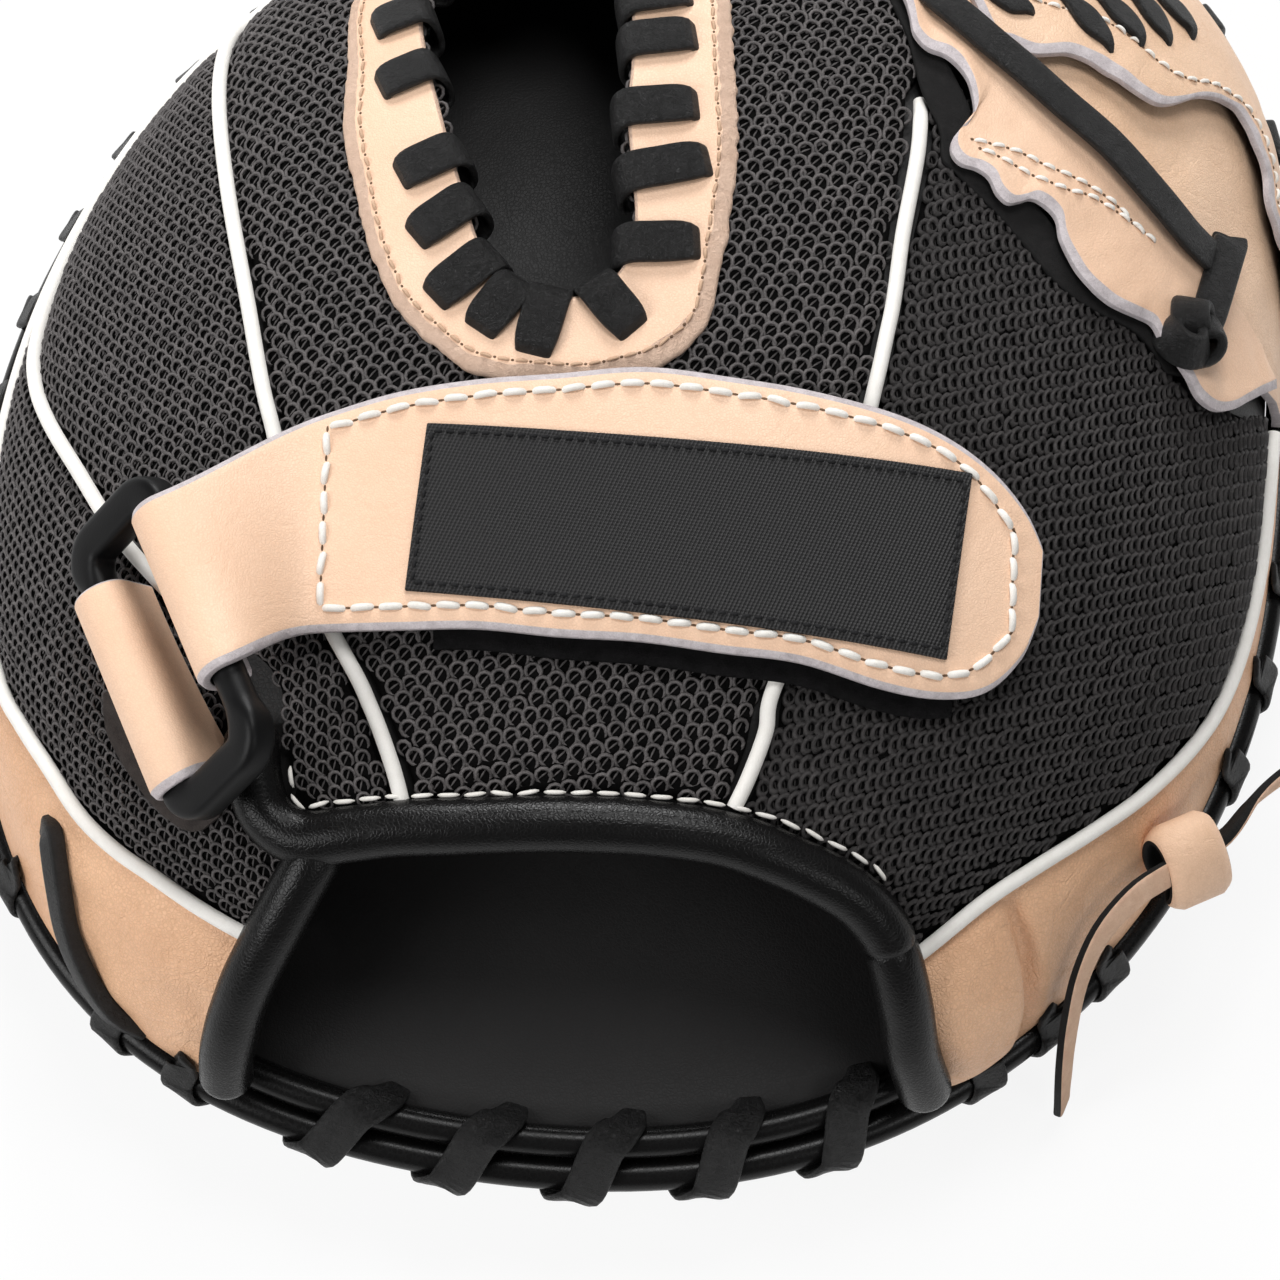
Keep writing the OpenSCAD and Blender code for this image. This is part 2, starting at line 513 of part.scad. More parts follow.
module strap_ring() {
  cheek = 6;
  cheek_r = bar_r + 0.4;
  bar_l = ring_length - cheek;
  color("#121214") in_ring_frame() {
    for (x = [0, ring_span])
      translate([x, 0, 0]) rotate([90, 0, 0]) cylinder(r = bar_r, h = bar_l, center = true);
    for (y = [-1, 1]) translate([0, y * (ring_length - cheek) / 2, 0]) rotate([90, 0, 0])
      linear_extrude(cheek, center = true) {
        translate([0, -cheek_r]) square([ring_span, 2 * cheek_r]);
        for (x = [0, ring_span]) translate([x, 0]) circle(r = cheek_r);
      }
  }
}

// Tab: folded over the first bar, both ends sewn down on the mesh.
module ring_tab() {
  r = bar_r + turn_fit;
  t = strap_t;
  function profile(y, off) = let (
      foot = ring_seat - y * ring_axis,
      q = foot_chart(foot),
      n = dome_normal(q),
      s = unit(cross(n, -ring_axis)),
      spread = r + off
    ) concat([lift(q, layer) + s * spread, foot + s * (r + off) - n * 0.5],
      [for (phi = [18:18:162]) foot + (r + off) * (cos(phi) * s + sin(phi) * n)],
      [foot - s * (r + off) - n * 0.5, lift(q, layer) - s * spread]);
  tab_shift = -1.5;
  ys = [for (k = [0:6]) tab_shift + tab_w * (0.5 - k / 6)];
  color("#dcb088") slab([for (y = ys) profile(y, t)], [for (y = ys) profile(y, 0)]);
}

// Chart point straight below a point, by two corrections of a first guess.
function chart_of(p) = let (a = atan2(p[1], p[0]), rho = min(1, norm([p[0], p[1]]) / rim_r(a)))
  (1 - acos(pow(rho, 1 / shoulder)) / 90) * [cos(a), sin(a)];
function foot_chart(p) = let (
    q = chart_of(p),
    d = (p - dome_at(q)) * dome_normal(q),
    q2 = chart_of(p - d * dome_normal(q))
  ) chart_of(p - ((p - dome_at(q2)) * dome_normal(q2)) * dome_normal(q2));

module web_back_lower() {
  rows = between(spline(charts(web_inner), 14), spline(charts(web_rim), 14), 8);
  color("#c99d73") chart_sheet(rows, -web_t, 0);
}

module web_back_upper() {
  rows = between(spline(charts(cap_inner), 14), spline(charts(cap_rim), 14), 7);
  color("#dcb189") chart_sheet(rows, layer, layer + web_t);
}

module web_base_flap() {
  rows = between(spline(charts(flap_inner), 22), spline(charts(flap_outer), 22), 3);
  color("#e6bf97") chart_sheet(rows, layer, layer + web_t);
}

module web_front() {
  steps = [0.925, 0.82, 0.7, 0.58, 0.455];
  grid = [for (i = [0:12]) let (a = 20 + 50 * i / 12) [for (s = steps) [a, s]]];
  color("#caa077") slab([for (r = grid) [for (g = r) palm(g[0], g[1])]],
    [for (r = grid) [for (g = r) palm(g[0], g[1]) - palm_t * palm_normal(g[0], g[1])]]);
}

module web_tie_lace() color("#111113") lace_on_back(tie_line, 14, layer + web_t + layer);

// Slanted lacing across the web cap, and wraps over its edge.
module web_lacing() {
  h = 2 * layer + web_t;
  color("#111113") {
    for (a = [66, 58, 50, 42]) lace_on_back([[a, 37], [a - 4, 30], [a - 7, 24]], 4, h);
    for (a = [72, 62, 52, 42, 32, 22]) rim_wrap(a, 0, 11, layer + web_t, 0.7);
  }
}

module rim_welt() {
  turns = [for (k = [0:59]) 6 * k];
  color("#151517") sweep([for (a = turns) on_welt(a, rim_centre, 0, 0)], [for (a = turns) [0, 0, 1]],
    round_section(welt_r, 6), closed = true);
}

module heel_welt() {
  turns = [for (k = [0:16]) -121 + 54 * k / 16];
  color("#151517") sweep([for (a = turns) on_welt(a, heel_centre, 0, 0)], [for (a = turns) [0, 0, 1]],
    round_section(heel_r, 8));
}

module heel_lacing() color("#101012") for (k = [0:4]) heel_wrap(-111.5 + 10.6 * k, -6);

module finger_rim_lacing() color("#101012") {
  for (k = [0:13]) rim_wrap(-163 - 9 * k, -3, 8.5);
  for (a = [-131, -139]) rim_wrap(a, 4, 6);
  rim_wrap(-154, 12, 17);
}

module thumb_rim_lacing() color("#101012") for (a = [-57, -50, -43, -22, -13, -4]) rim_wrap(a, -4, 6);

// Leather thong knotted through the thumb side of the rim.
tie_w = 13;
tie_t = 2;
tie_r = 2.6;
knot_out = 3;
knot_rise = 22;
knot_r = 5.6;
knot_axis = [-0.625, -0.507, 0.594];
knot_top = [0.766, -0.544, 0.342];
module thumb_tie() {
  at = -35.4;
  mid = (rim_r(at) + knot_out) * out(at) + [0, 0, rim_z + knot_rise];
  ups = [for (k = [0:13]) cos(360 * k / 14) * knot_top + sin(360 * k / 14) * cross(knot_axis, knot_top)];
  color("#e0b78d") sweep([for (u = ups) mid + knot_r * u], ups, flat_section(tie_w, tie_t), closed = true);
}

module free_lace(points, n) {
  q = spline(points, n);
  sweep(q, [for (p = q) [0.3, 0.2, 1]], round_section(tie_r, 8));
}

module thumb_tie_tail() color("#e0b78d") free_lace(tie_tail, 16);
module thumb_tie_end() color("#e0b78d") free_lace(tie_end, 14);

// Loops inside the hand space that the thumb and the little finger go through.
loop_half = 15;
loop_rise = 26;
loop_w = 14;
loop_t = 1.8;
module finger_loop(x, y, heading) {
  turns = [for (k = [0:12]) 180 * k / 12];
  z = lining_z(norm([x, y]) / rim_r(atan2(y, x))) + layer;
  along = [cos(heading), sin(heading), 0];
  color("#c9a27a") sweep([for (t = turns) [x, y, z] + loop_half * cos(t) * along + [0, 0, loop_rise * sin(t)]],
    [for (t = turns) cos(t) * along + [0, 0, sin(t) + 0.01]], flat_section(loop_w, loop_t));
}

module thumb_loop() finger_loop(58, 6, 0);
module pinky_loop() finger_loop(-62, 4, 0);

translate(plan_shift) {
  palm_shell();
  palm_pad();
  palm_lining();
  back_lining();
  center_panel();
  finger_panel();
  pinky_panel();
  thumb_panel();
  finger_gusset();
  thumb_gusset();
  finger_piping();
  thumb_piping();
  pinky_piping();
  finger_gusset_piping();
  thumb_gusset_piping();
  wrist_binding();
  finger_side_binding();
  thumb_side_binding();
  finger_opening_trim();
  finger_opening_lacing();
  loop_tape();
  ring_tab();
  web_back_lower();
  web_back_upper();
  web_front();
  web_base_flap();
  web_tie_lace();
  web_lacing();
  rim_welt();
  heel_welt();
  heel_lacing();
  finger_rim_lacing();
  thumb_rim_lacing();
  thumb_tie();
  thumb_tie_tail();
  thumb_tie_end();
  thumb_loop();
  pinky_loop();
  strap_ring();
  strap();
  hook_tape();
  strap_label();
}
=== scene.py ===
# %% [markdown]
# # A catcher's mitt, dressed in Blender
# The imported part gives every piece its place: the shell, the panels, the rolls, the strap and its
# ring. This script keeps that frame and makes what a photograph shows on top of it: open mesh,
# piping, leather with cut edges, lacing and stitches. One rule carries the whole model. The back
# of the mitt is a dome with a flat map, so a seam is drawn once on the map and then lifted.

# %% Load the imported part
import math

import bmesh
import bpy
import numpy as np
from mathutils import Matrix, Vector, noise
from mathutils.bvhtree import BVHTree


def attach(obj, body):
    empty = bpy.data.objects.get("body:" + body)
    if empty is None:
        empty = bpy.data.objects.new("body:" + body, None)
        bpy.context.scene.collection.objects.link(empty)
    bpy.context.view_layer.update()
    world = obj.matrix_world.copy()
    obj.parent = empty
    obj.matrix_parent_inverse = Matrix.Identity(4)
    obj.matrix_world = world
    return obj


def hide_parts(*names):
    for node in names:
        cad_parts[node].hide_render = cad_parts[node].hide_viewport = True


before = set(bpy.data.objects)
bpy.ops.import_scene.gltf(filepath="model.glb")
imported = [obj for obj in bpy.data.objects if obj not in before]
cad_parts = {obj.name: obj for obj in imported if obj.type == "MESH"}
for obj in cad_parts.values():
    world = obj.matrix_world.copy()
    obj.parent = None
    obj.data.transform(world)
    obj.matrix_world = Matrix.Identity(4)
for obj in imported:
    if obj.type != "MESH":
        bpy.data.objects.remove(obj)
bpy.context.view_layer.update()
MM = 0.001

# %% [markdown]
# ## The back as a map
# A point of the map is an angle round the hand and a latitude, 0 at the rim seam and 90 at the
# crown. The rim radius swells at the fingertips, the web and the heel. `lift` raises a map point
# off the dome along its normal, so layers of leather can lie on one another by their thickness.

# %% Dome and palm, all in millimetres
PLAN = np.array([-1.3196, -4.6055, 0.0])
RIM_R, RIM_Z, FINGERTIP_SWELL = 124.5, 30.0, 12
# Swell in mm, then its angle and spread in degrees: at the web, the little finger's side and the heel.
RIM_SWELLS = ((29, 44, 28), (15, 222, 30), (5, 285, 40))
CROWN, DOME_POWER = 74.0, 2.6
POCKET, RIDGE, TABLE_FLAT = 28.0, 0.84, 0.4
NUDGE = 0.001


def turn(degrees):
    return (np.asarray(degrees, float) + 180) % 360 - 180


def hump(x, spread):
    """1 where x is 0, falling away on both sides."""
    return np.exp(-((x / spread) ** 2))


def rim_r(a):
    """Radius of the rim seam at an angle."""
    a = np.asarray(a, float)
    r = RIM_R + FINGERTIP_SWELL * np.maximum(np.sin(np.radians(a)), 0) ** 4
    for swell, at, spread in RIM_SWELLS:
        r = r + swell * hump(turn(a - at), spread)
    return r


def chart(pairs):
    """Map points of pairs of angle and latitude."""
    p = np.asarray(pairs, float)
    k = 1 - p[..., 1] / 90
    return np.stack([k * np.cos(np.radians(p[..., 0])), k * np.sin(np.radians(p[..., 0]))], -1)


def dome_at(q):
    """Places in mm on the dome under map points."""
    a = np.degrees(np.arctan2(q[..., 1], q[..., 0]))
    lat = np.radians(90 * (1 - np.hypot(q[..., 0], q[..., 1])))
    r = rim_r(a) * np.maximum(np.cos(lat), 0) ** (2 / DOME_POWER)
    out = np.stack([r * np.cos(np.radians(a)), r * np.sin(np.radians(a)), RIM_Z + CROWN * np.sin(lat)], -1)
    return out + PLAN


def unit(v):
    v = np.asarray(v, float)
    return v / np.linalg.norm(v, axis=-1, keepdims=True)


def dome_normal(q):
    ex, ey = np.array([NUDGE, 0]), np.array([0, NUDGE])
    return unit(np.cross(dome_at(q + ex) - dome_at(q - ex), dome_at(q + ey) - dome_at(q - ey)))


def lift(q, h):
    """Places at a height over the dome, one height or one for each map point."""
    q = np.asarray(q, float)
    return dome_at(q) + np.asarray(h, float)[..., None] * dome_normal(q)


def out_at(a):
    a = np.radians(np.asarray(a, float))
    return np.stack([np.cos(a), np.sin(a), np.zeros_like(a)], -1)


def palm(a, s):
    """Places on the catching side: s is 1 at the rim, 0 on the ridge and -1 in the pocket."""
    a, s = np.broadcast_arrays(np.asarray(a, float), np.asarray(s, float))
    rho = np.where(s > 0, RIDGE + (1 - RIDGE) * np.sin(np.radians(90 * s)), RIDGE * (1 + s))
    rise = np.where(s > 0, RIM_Z * (1 - np.cos(np.radians(90 * s))), POCKET * (1 - np.cos(np.pi * s)) / 2)
    flat = (rim_r(a) * rho)[..., None] * out_at(a)
    flat[..., 2] = np.maximum(0, rise - TABLE_FLAT)
    return flat + PLAN


def palm_normal(a, s):
    a, s = np.asarray(a, float), np.asarray(s, float)
    da, ds = 0.5, 0.01
    return unit(np.cross(palm(a + da, s) - palm(a - da, s), palm(a, s + ds) - palm(a, s - ds)))


# %% Curves and grids on the map
def spline_at(points, t):
    """A smooth curve through the points, where t counts them."""
    p = np.asarray(points, float)
    t = np.asarray(t, float)
    i = np.clip(np.floor(t).astype(int), 0, len(p) - 2)
    f = (t - i)[..., None]
    a, b = p[np.maximum(i - 1, 0)], p[i]
    c, d = p[i + 1], p[np.minimum(i + 2, len(p) - 1)]
    return 0.5 * (2 * b + (c - a) * f + (2 * a - 5 * b + 4 * c - d) * f**2 + (3 * b - a - 3 * c + d) * f**3)


def spline(points, n):
    return spline_at(points, np.linspace(0, len(points) - 1, n + 1))


def run_along(path):
    """The length of a polyline up to each of its points."""
    return np.concatenate([[0], np.cumsum(np.linalg.norm(np.diff(path, axis=0), axis=1))])


def rows_at(at, run, rows):
    """Rows that belong to the points of a polyline, read at given lengths along it."""
    return np.stack([np.interp(at, run, rows[:, k]) for k in range(rows.shape[1])], -1)


def even(points, n):
    """n + 1 points evenly spaced along a polyline."""
    p = np.asarray(points, float)
    run = run_along(p)
    return rows_at(np.linspace(0, run[-1], n + 1), run, p)


def beside(c, d):
    """A line on the map moved sideways by d."""
    c = np.asarray(c, float)
    t = np.empty_like(c)
    t[1:-1] = c[2:] - c[:-2]
    t[0], t[-1] = c[1] - c[0], c[-1] - c[-2]
    t = unit(t)
    return c + d * np.stack([-t[:, 1], t[:, 0]], -1)


def ray(loop, centre, th):
    """Where a ray from the centre at angle th leaves a closed loop on the map."""
    d = np.array([math.cos(math.radians(th)), math.sin(math.radians(th))])
    p = loop - centre
    e = np.roll(loop, -1, axis=0) - loop
    den = d[0] * e[:, 1] - d[1] * e[:, 0]
    with np.errstate(divide="ignore", invalid="ignore"):
        s = (p[:, 0] * d[1] - p[:, 1] * d[0]) / den
        far = (p[:, 0] * e[:, 1] - p[:, 1] * e[:, 0]) / den
    return centre + far[(s >= 0) & (s <= 1)].max() * d


def between(c, d, m):
    """A grid of m cells from line c to line d."""
    t = np.linspace(0, 1, m + 1)[None, :, None]
    return c[:, None] * (1 - t) + d[:, None] * t


def around(inner, outer, centre, n, m):
    """A grid from an inner loop to an outer one, on n rays from the centre."""
    turns = np.linspace(0, 360, n, endpoint=False)
    a = np.array([ray(inner, centre, th) for th in turns])
    b = np.array([ray(outer, centre, th) for th in turns])
    return between(a, b, m)


def smooth(t):
    t = np.clip(t, 0, 1)
    return t * t * (3 - 2 * t)


def at_both_ends(t, spread):
    """A hump at either end of a share that runs from 0 to 1."""
    return hump(t, spread) + hump(1 - t, spread)


rim_seam = dome_at(chart([[a, 0] for a in range(361)]))
print("rim seam length in mm:", round(float(run_along(rim_seam)[-1]), 1))

# %% [markdown]
# ## Camera, light and floor
# The picture was taken from 72 degrees above the table with a long lens, close enough to crop the
# fingers and the left edge. Four soft round lamps light it: one above, a strong one behind that
# draws the shine on the black rolls, one from the left and a weak one in front. The floor shows
# almost white to the camera, yet keeps the shadow under the mitt.

# %% Camera
def new_object(name, data):
    obj = bpy.data.objects.new(name, data)
    bpy.context.collection.objects.link(obj)
    return obj


CAMERA_UP, CAMERA_FAR = math.radians(72), 1.0
FOCAL_PIXELS, FRAME_PIXELS, SENSOR = 5150, 1280, 36
camera = new_object("photo_camera", bpy.data.cameras.new("photo_camera"))
aim = Vector((0.68, -31.6, 40.0)) * MM
camera.location = aim + CAMERA_FAR * Vector((0, -math.cos(CAMERA_UP), math.sin(CAMERA_UP)))
camera.rotation_euler = (math.pi / 2 - CAMERA_UP, 0, 0)
camera.data.sensor_width = SENSOR
camera.data.lens = FOCAL_PIXELS / FRAME_PIXELS * SENSOR
camera.data.clip_start = 0.05
bpy.context.scene.camera = camera
bpy.context.scene.view_settings.view_transform = "Standard"
print("lens in mm:", round(camera.data.lens, 1))


# %% Lamps and world
def soft_lamp(name, place, target, size, watts):
    lamp = bpy.data.lights.new(name, "AREA")
    lamp.shape = "DISK"
    lamp.size = size
    lamp.energy = watts
    holder = new_object(name, lamp)
    holder.location = place
    holder.rotation_euler = (Vector(target) - Vector(place)).to_track_quat("-Z", "Y").to_euler()


WORLD_LIGHT = 0.18
soft_lamp("key_lamp", (0.15, 0.40, 1.35), (0, 0, 0.05), size=0.6, watts=8.2)
soft_lamp("back_lamp", (0.0, 1.30, 0.80), (0, 0, 0.06), size=0.65, watts=16)
soft_lamp("side_lamp", (-0.95, -0.45, 0.8), (0, 0, 0.05), size=0.8, watts=9.2)
soft_lamp("front_lamp", (0.70, -0.7, 1.0), (0, -0.03, 0.05), size=0.5, watts=2.2)
world = bpy.data.worlds.new("studio")
world.use_nodes = True
sky = world.node_tree.nodes["Background"]
sky.inputs["Color"].default_value = (1, 1, 1, 1)
sky.inputs["Strength"].default_value = WORLD_LIGHT
bpy.context.scene.world = world
print("lamps:", [lamp.name for lamp in bpy.data.lights])


# %% Node helper
def node(tree, kind, given=None, **settings):
    """One shader node. A given input is a socket to link or a plain value."""
    made = tree.nodes.new("ShaderNode" + kind)
    for key, value in settings.items():
        setattr(made, key, value)
    for key, value in (given or {}).items():
        socket = next((s for s in made.inputs if s.identifier == key), None) or made.inputs[key]
        if isinstance(value, bpy.types.NodeSocket):
            tree.links.new(value, socket)
        elif isinstance(value, (tuple, list)) and socket.type == "RGBA" and len(value) == 3:
            socket.default_value = (*value, 1)
        else:
            socket.default_value = value
    return made


def maths(tree, operation, *values):
    """The result of one Math node on sockets or plain numbers."""
    return node(tree, "Math", dict(enumerate(values)), operation=operation).outputs[0]


def blend(tree, share, first, second):
    """The colour at a share between two, each a colour or a socket."""
    given = {"Factor_Float": share, "A_Color": first, "B_Color": second}
    return node(tree, "Mix", given, data_type="RGBA").outputs[2]


# %% Floor
FLOOR_HALF, FLOOR_DROP, GLOW_SHARE = 3, 0.0005, 0.88


def floor_material():
    mat = bpy.data.materials.new("pale_floor")
    mat.use_nodes = True
    tree = mat.node_tree
    tree.nodes.clear()
    path = node(tree, "LightPath")
    direct = maths(tree, "MAXIMUM", path.outputs["Is Camera Ray"], path.outputs["Is Glossy Ray"])
    seen = maths(tree, "MAXIMUM", direct, path.outputs["Is Transmission Ray"])
    part = maths(tree, "MULTIPLY", seen, GLOW_SHARE)
    matt = node(tree, "BsdfDiffuse", {"Color": (0.93, 0.93, 0.93)})
    glow = node(tree, "Emission", {"Color": (1, 1, 1), "Strength": 1.0})
    both = node(tree, "MixShader", {0: part, 1: matt.outputs[0], 2: glow.outputs[0]})
    node(tree, "OutputMaterial", {"Surface": both.outputs[0]})
    return mat


floor_mesh = bpy.data.meshes.new("floor")
floor_corners = [(FLOOR_HALF * x, FLOOR_HALF * y, 0) for x, y in ((-1, -1), (1, -1), (1, 1), (-1, 1))]
floor_mesh.from_pydata(floor_corners, [], [(0, 1, 2, 3)])
floor_mesh.materials.append(floor_material())
floor = new_object("floor", floor_mesh)
floor.location.z = -FLOOR_DROP
print("floor is", 2 * FLOOR_HALF, "m wide")

# %% [markdown]
# ## Finishes
# Three effects come back in many materials, so each is a node group with its own numbers in every
# material: the pebbled grain of a hide, the slow drift of its tone, and the nap of cut edges, cloth,
# yarn and laces. They read Object coordinates, which are metres, so a scale of 900 is about 1.1 mm.


# %% Grain of a hide
def shader_group(name, inputs, outputs):
    tree = bpy.data.node_groups.new(name, "ShaderNodeTree")
    for label, kind, value in inputs:
        socket = tree.interface.new_socket(label, in_out="INPUT", socket_type="NodeSocket" + kind)
        socket.default_value = (*value, 1) if kind == "Color" else value
    for label, kind in outputs:
        tree.interface.new_socket(label, in_out="OUTPUT", socket_type="NodeSocket" + kind)
    return tree, tree.nodes.new("NodeGroupInput"), tree.nodes.new("NodeGroupOutput")


def hide_grain_group():
    tree, given, made = shader_group(
        "hide_grain",
        [("Pebble", "Float", 900.0), ("Crease", "Float", 120.0), ("Crease depth", "Float", 0.5)],
        [("Height", "Float"), ("Pores", "Float")],
    )
    place = node(tree, "TexCoord").outputs["Object"]
    drift = node(tree, "TexNoise", {"Vector": place, "Scale": 260.0, "Detail": 2.0})
    bend = (0.0012, 0.0012, 0.0012)
    bent = node(tree, "VectorMath", {0: drift.outputs["Color"], 1: bend}, operation="MULTIPLY")
    moved = node(tree, "VectorMath", {0: place, 1: bent.outputs[0]}, operation="ADD").outputs[0]
    pebbles = {"Vector": moved, "Scale": given.outputs["Pebble"]}
    cells = node(tree, "TexVoronoi", pebbles, feature="DISTANCE_TO_EDGE")
    flat_tops = {"Value": cells.outputs["Distance"], "From Max": 0.22}
    plateau = node(tree, "MapRange", flat_tops, interpolation_type="SMOOTHSTEP").outputs[0]
    fine = node(tree, "TexNoise", {"Vector": place, "Scale": 3200.0, "Detail": 3.0})
    folds = {"Vector": moved, "Scale": given.outputs["Crease"], "Detail": 4.0, "Distortion": 0.8}
    fold = node(tree, "TexNoise", folds)
    size = maths(tree, "ABSOLUTE", maths(tree, "SUBTRACT", fold.outputs["Fac"], 0.5))
    thin_lines = {"Value": size, "From Max": 0.05}
    line = node(tree, "MapRange", thin_lines, interpolation_type="SMOOTHSTEP").outputs[0]
    deep = maths(tree, "MULTIPLY", line, given.outputs["Crease depth"])
    pebbled = maths(tree, "MULTIPLY_ADD", plateau, 0.45, deep)
    height = maths(tree, "MULTIPLY_ADD", fine.outputs["Fac"], 0.35, pebbled)
    tree.links.new(height, made.inputs["Height"])
    tree.links.new(maths(tree, "SUBTRACT", 1.0, plateau), made.inputs["Pores"])
    return tree


# %% Drift of tone
def tone_drift_group():
    tree, given, made = shader_group(
        "tone_drift",
        [("Light", "Color", (0.8, 0.5, 0.3)), ("Dark", "Color", (0.6, 0.4, 0.2)), ("Patch", "Float", 45.0)],
        [("Color", "Color")],
    )
    place = node(tree, "TexCoord").outputs["Object"]
    patches = {"Vector": place, "Scale": given.outputs["Patch"], "Detail": 3.0, "Roughness": 0.55}
    wide = node(tree, "TexNoise", patches)
    speck = node(tree, "TexNoise", {"Vector": place, "Scale": 700.0, "Detail": 2.0})
    mixed = maths(tree, "MULTIPLY_ADD", speck.outputs["Fac"], 0.35, wide.outputs["Fac"])
    share = node(tree, "MapRange", {"Value": mixed, "From Min": 0.45, "From Max": 0.95})
    tint = blend(tree, share.outputs[0], given.outputs["Light"], given.outputs["Dark"])
    tree.links.new(tint, made.inputs["Color"])
    return tree


# %% Nap of fibres
def nap_group():
    outputs = [("Height", "Float"), ("Shade", "Float")]
    tree, given, made = shader_group("nap", [("Fibre", "Float", 1500.0)], outputs)
    place = node(tree, "TexCoord").outputs["Object"]
    fibres = {"Vector": place, "Scale": given.outputs["Fibre"], "Detail": 5.0, "Roughness": 0.75,
              "Distortion": 1.5}
    hairs = node(tree, "TexNoise", fibres)
    tufts = node(tree, "TexNoise", {"Vector": place, "Scale": 420.0, "Detail": 2.0})
    both = maths(tree, "MULTIPLY_ADD", tufts.outputs["Fac"], 0.6, hairs.outputs["Fac"])
    shade = node(tree, "MapRange", {"Value": both, "From Min": 0.5, "From Max": 1.05})
    tree.links.new(both, made.inputs["Height"])
    tree.links.new(shade.outputs[0], made.inputs["Shade"])
    return tree


HIDE_GRAIN, TONE_DRIFT, NAP = hide_grain_group(), tone_drift_group(), nap_group()


# %% Materials that use the groups
def use_group(tree, group, values):
    made = tree.nodes.new("ShaderNodeGroup")
    made.node_tree = group
    for key, value in values.items():
        if isinstance(value, bpy.types.NodeSocket):
            tree.links.new(value, made.inputs[key])
        else:
            made.inputs[key].default_value = (*value, 1) if isinstance(value, tuple) else value
    return made


def blank(name):
    mat = bpy.data.materials.new(name)
    mat.use_nodes = True
    return mat, mat.node_tree, mat.node_tree.nodes["Principled BSDF"]


def bumped(tree, skin, height, strength, depth):
    bump = node(tree, "Bump", {"Strength": strength, "Distance": depth, "Height": height})
    tree.links.new(bump.outputs["Normal"], skin.inputs["Normal"])


# %% Leathers
def leather(name, light, dark, rough, crease_depth, pebble=1500.0, crease=90.0, bump=0.3, pore=0.18,
            shine=0.5):
    """A grained hide between two tones; pore is how dark its pores are."""
    mat, tree, skin = blank(name)
    grain = use_group(tree, HIDE_GRAIN, {"Pebble": pebble, "Crease": crease, "Crease depth": crease_depth})
    tone = use_group(tree, TONE_DRIFT, {"Light": light, "Dark": dark, "Patch": 38.0})
    share = maths(tree, "MULTIPLY", grain.outputs["Pores"], pore)
    worn = blend(tree, share, tone.outputs["Color"], tuple(0.7 * c for c in dark))
    tree.links.new(worn, skin.inputs["Base Color"])
    rubbed = {"Value": grain.outputs["Height"], "To Min": rough + 0.12, "To Max": rough - 0.08}
    tree.links.new(node(tree, "MapRange", rubbed).outputs[0], skin.inputs["Roughness"])
    skin.inputs["Specular IOR Level"].default_value = shine
    bumped(tree, skin, grain.outputs["Height"], bump, 0.0004)
    return mat


TAN = leather("tan_hide", (0.87, 0.60, 0.425), (0.81, 0.53, 0.36), 0.55, pebble=1700.0, crease_depth=0.4,
              bump=0.28, pore=0.2)
GUSSET = leather("gusset_hide", (0.92, 0.56, 0.34), (0.73, 0.41, 0.235), 0.5, pebble=1300.0,
                 crease_depth=0.6, bump=0.55, pore=0.25)
WEB = leather("web_hide", (0.86, 0.60, 0.42), (0.74, 0.48, 0.31), 0.52, crease_depth=0.45, bump=0.4,
              pore=0.25)
THONG = leather("thong_hide", (0.88, 0.60, 0.42), (0.72, 0.46, 0.30), 0.58, pebble=1800.0, crease=160.0,
                crease_depth=0.6, pore=0.15)
ROLL = leather("roll_hide", (0.0055, 0.0052, 0.0053), (0.0035, 0.0034, 0.0034), 0.28, pebble=1250.0,
               crease_depth=0.15, bump=0.2, shine=0.2)
WELT = leather("welt_hide", (0.0055, 0.0052, 0.0053), (0.0035, 0.0034, 0.0034), 0.27, pebble=900.0,
               crease_depth=0.1, bump=0.03, shine=0.2)
LINING = leather("lining_hide", (0.0085, 0.0078, 0.0078), (0.0055, 0.005, 0.005), 0.5, pebble=1300.0,
                 crease_depth=0.1, bump=0.12, shine=0.3)
PALM = leather("palm_hide", (0.010, 0.010, 0.0105), (0.006, 0.006, 0.0065), 0.44, pebble=800.0,
               crease_depth=0.5, bump=0.45, shine=0.4)

print("hides:", [hide.name for hide in (TAN, GUSSET, WEB, THONG, ROLL, WELT, LINING, PALM)])


# %% Cut edges, cloth and cord
def napped(name, light, dark, fibre=1500.0, bump=0.6, depth=0.0005, rough=0.9, shine=0.25):
    """A fibrous finish between two tones, darker in the depth of the nap."""
    mat, tree, skin = blank(name)
    nap = use_group(tree, NAP, {"Fibre": fibre})
    tree.links.new(blend(tree, nap.outputs["Shade"], dark, light), skin.inputs["Base Color"])
    skin.inputs["Roughness"].default_value = rough
    skin.inputs["Specular IOR Level"].default_value = shine
    bumped(tree, skin, nap.outputs["Height"], bump, depth)
    return mat


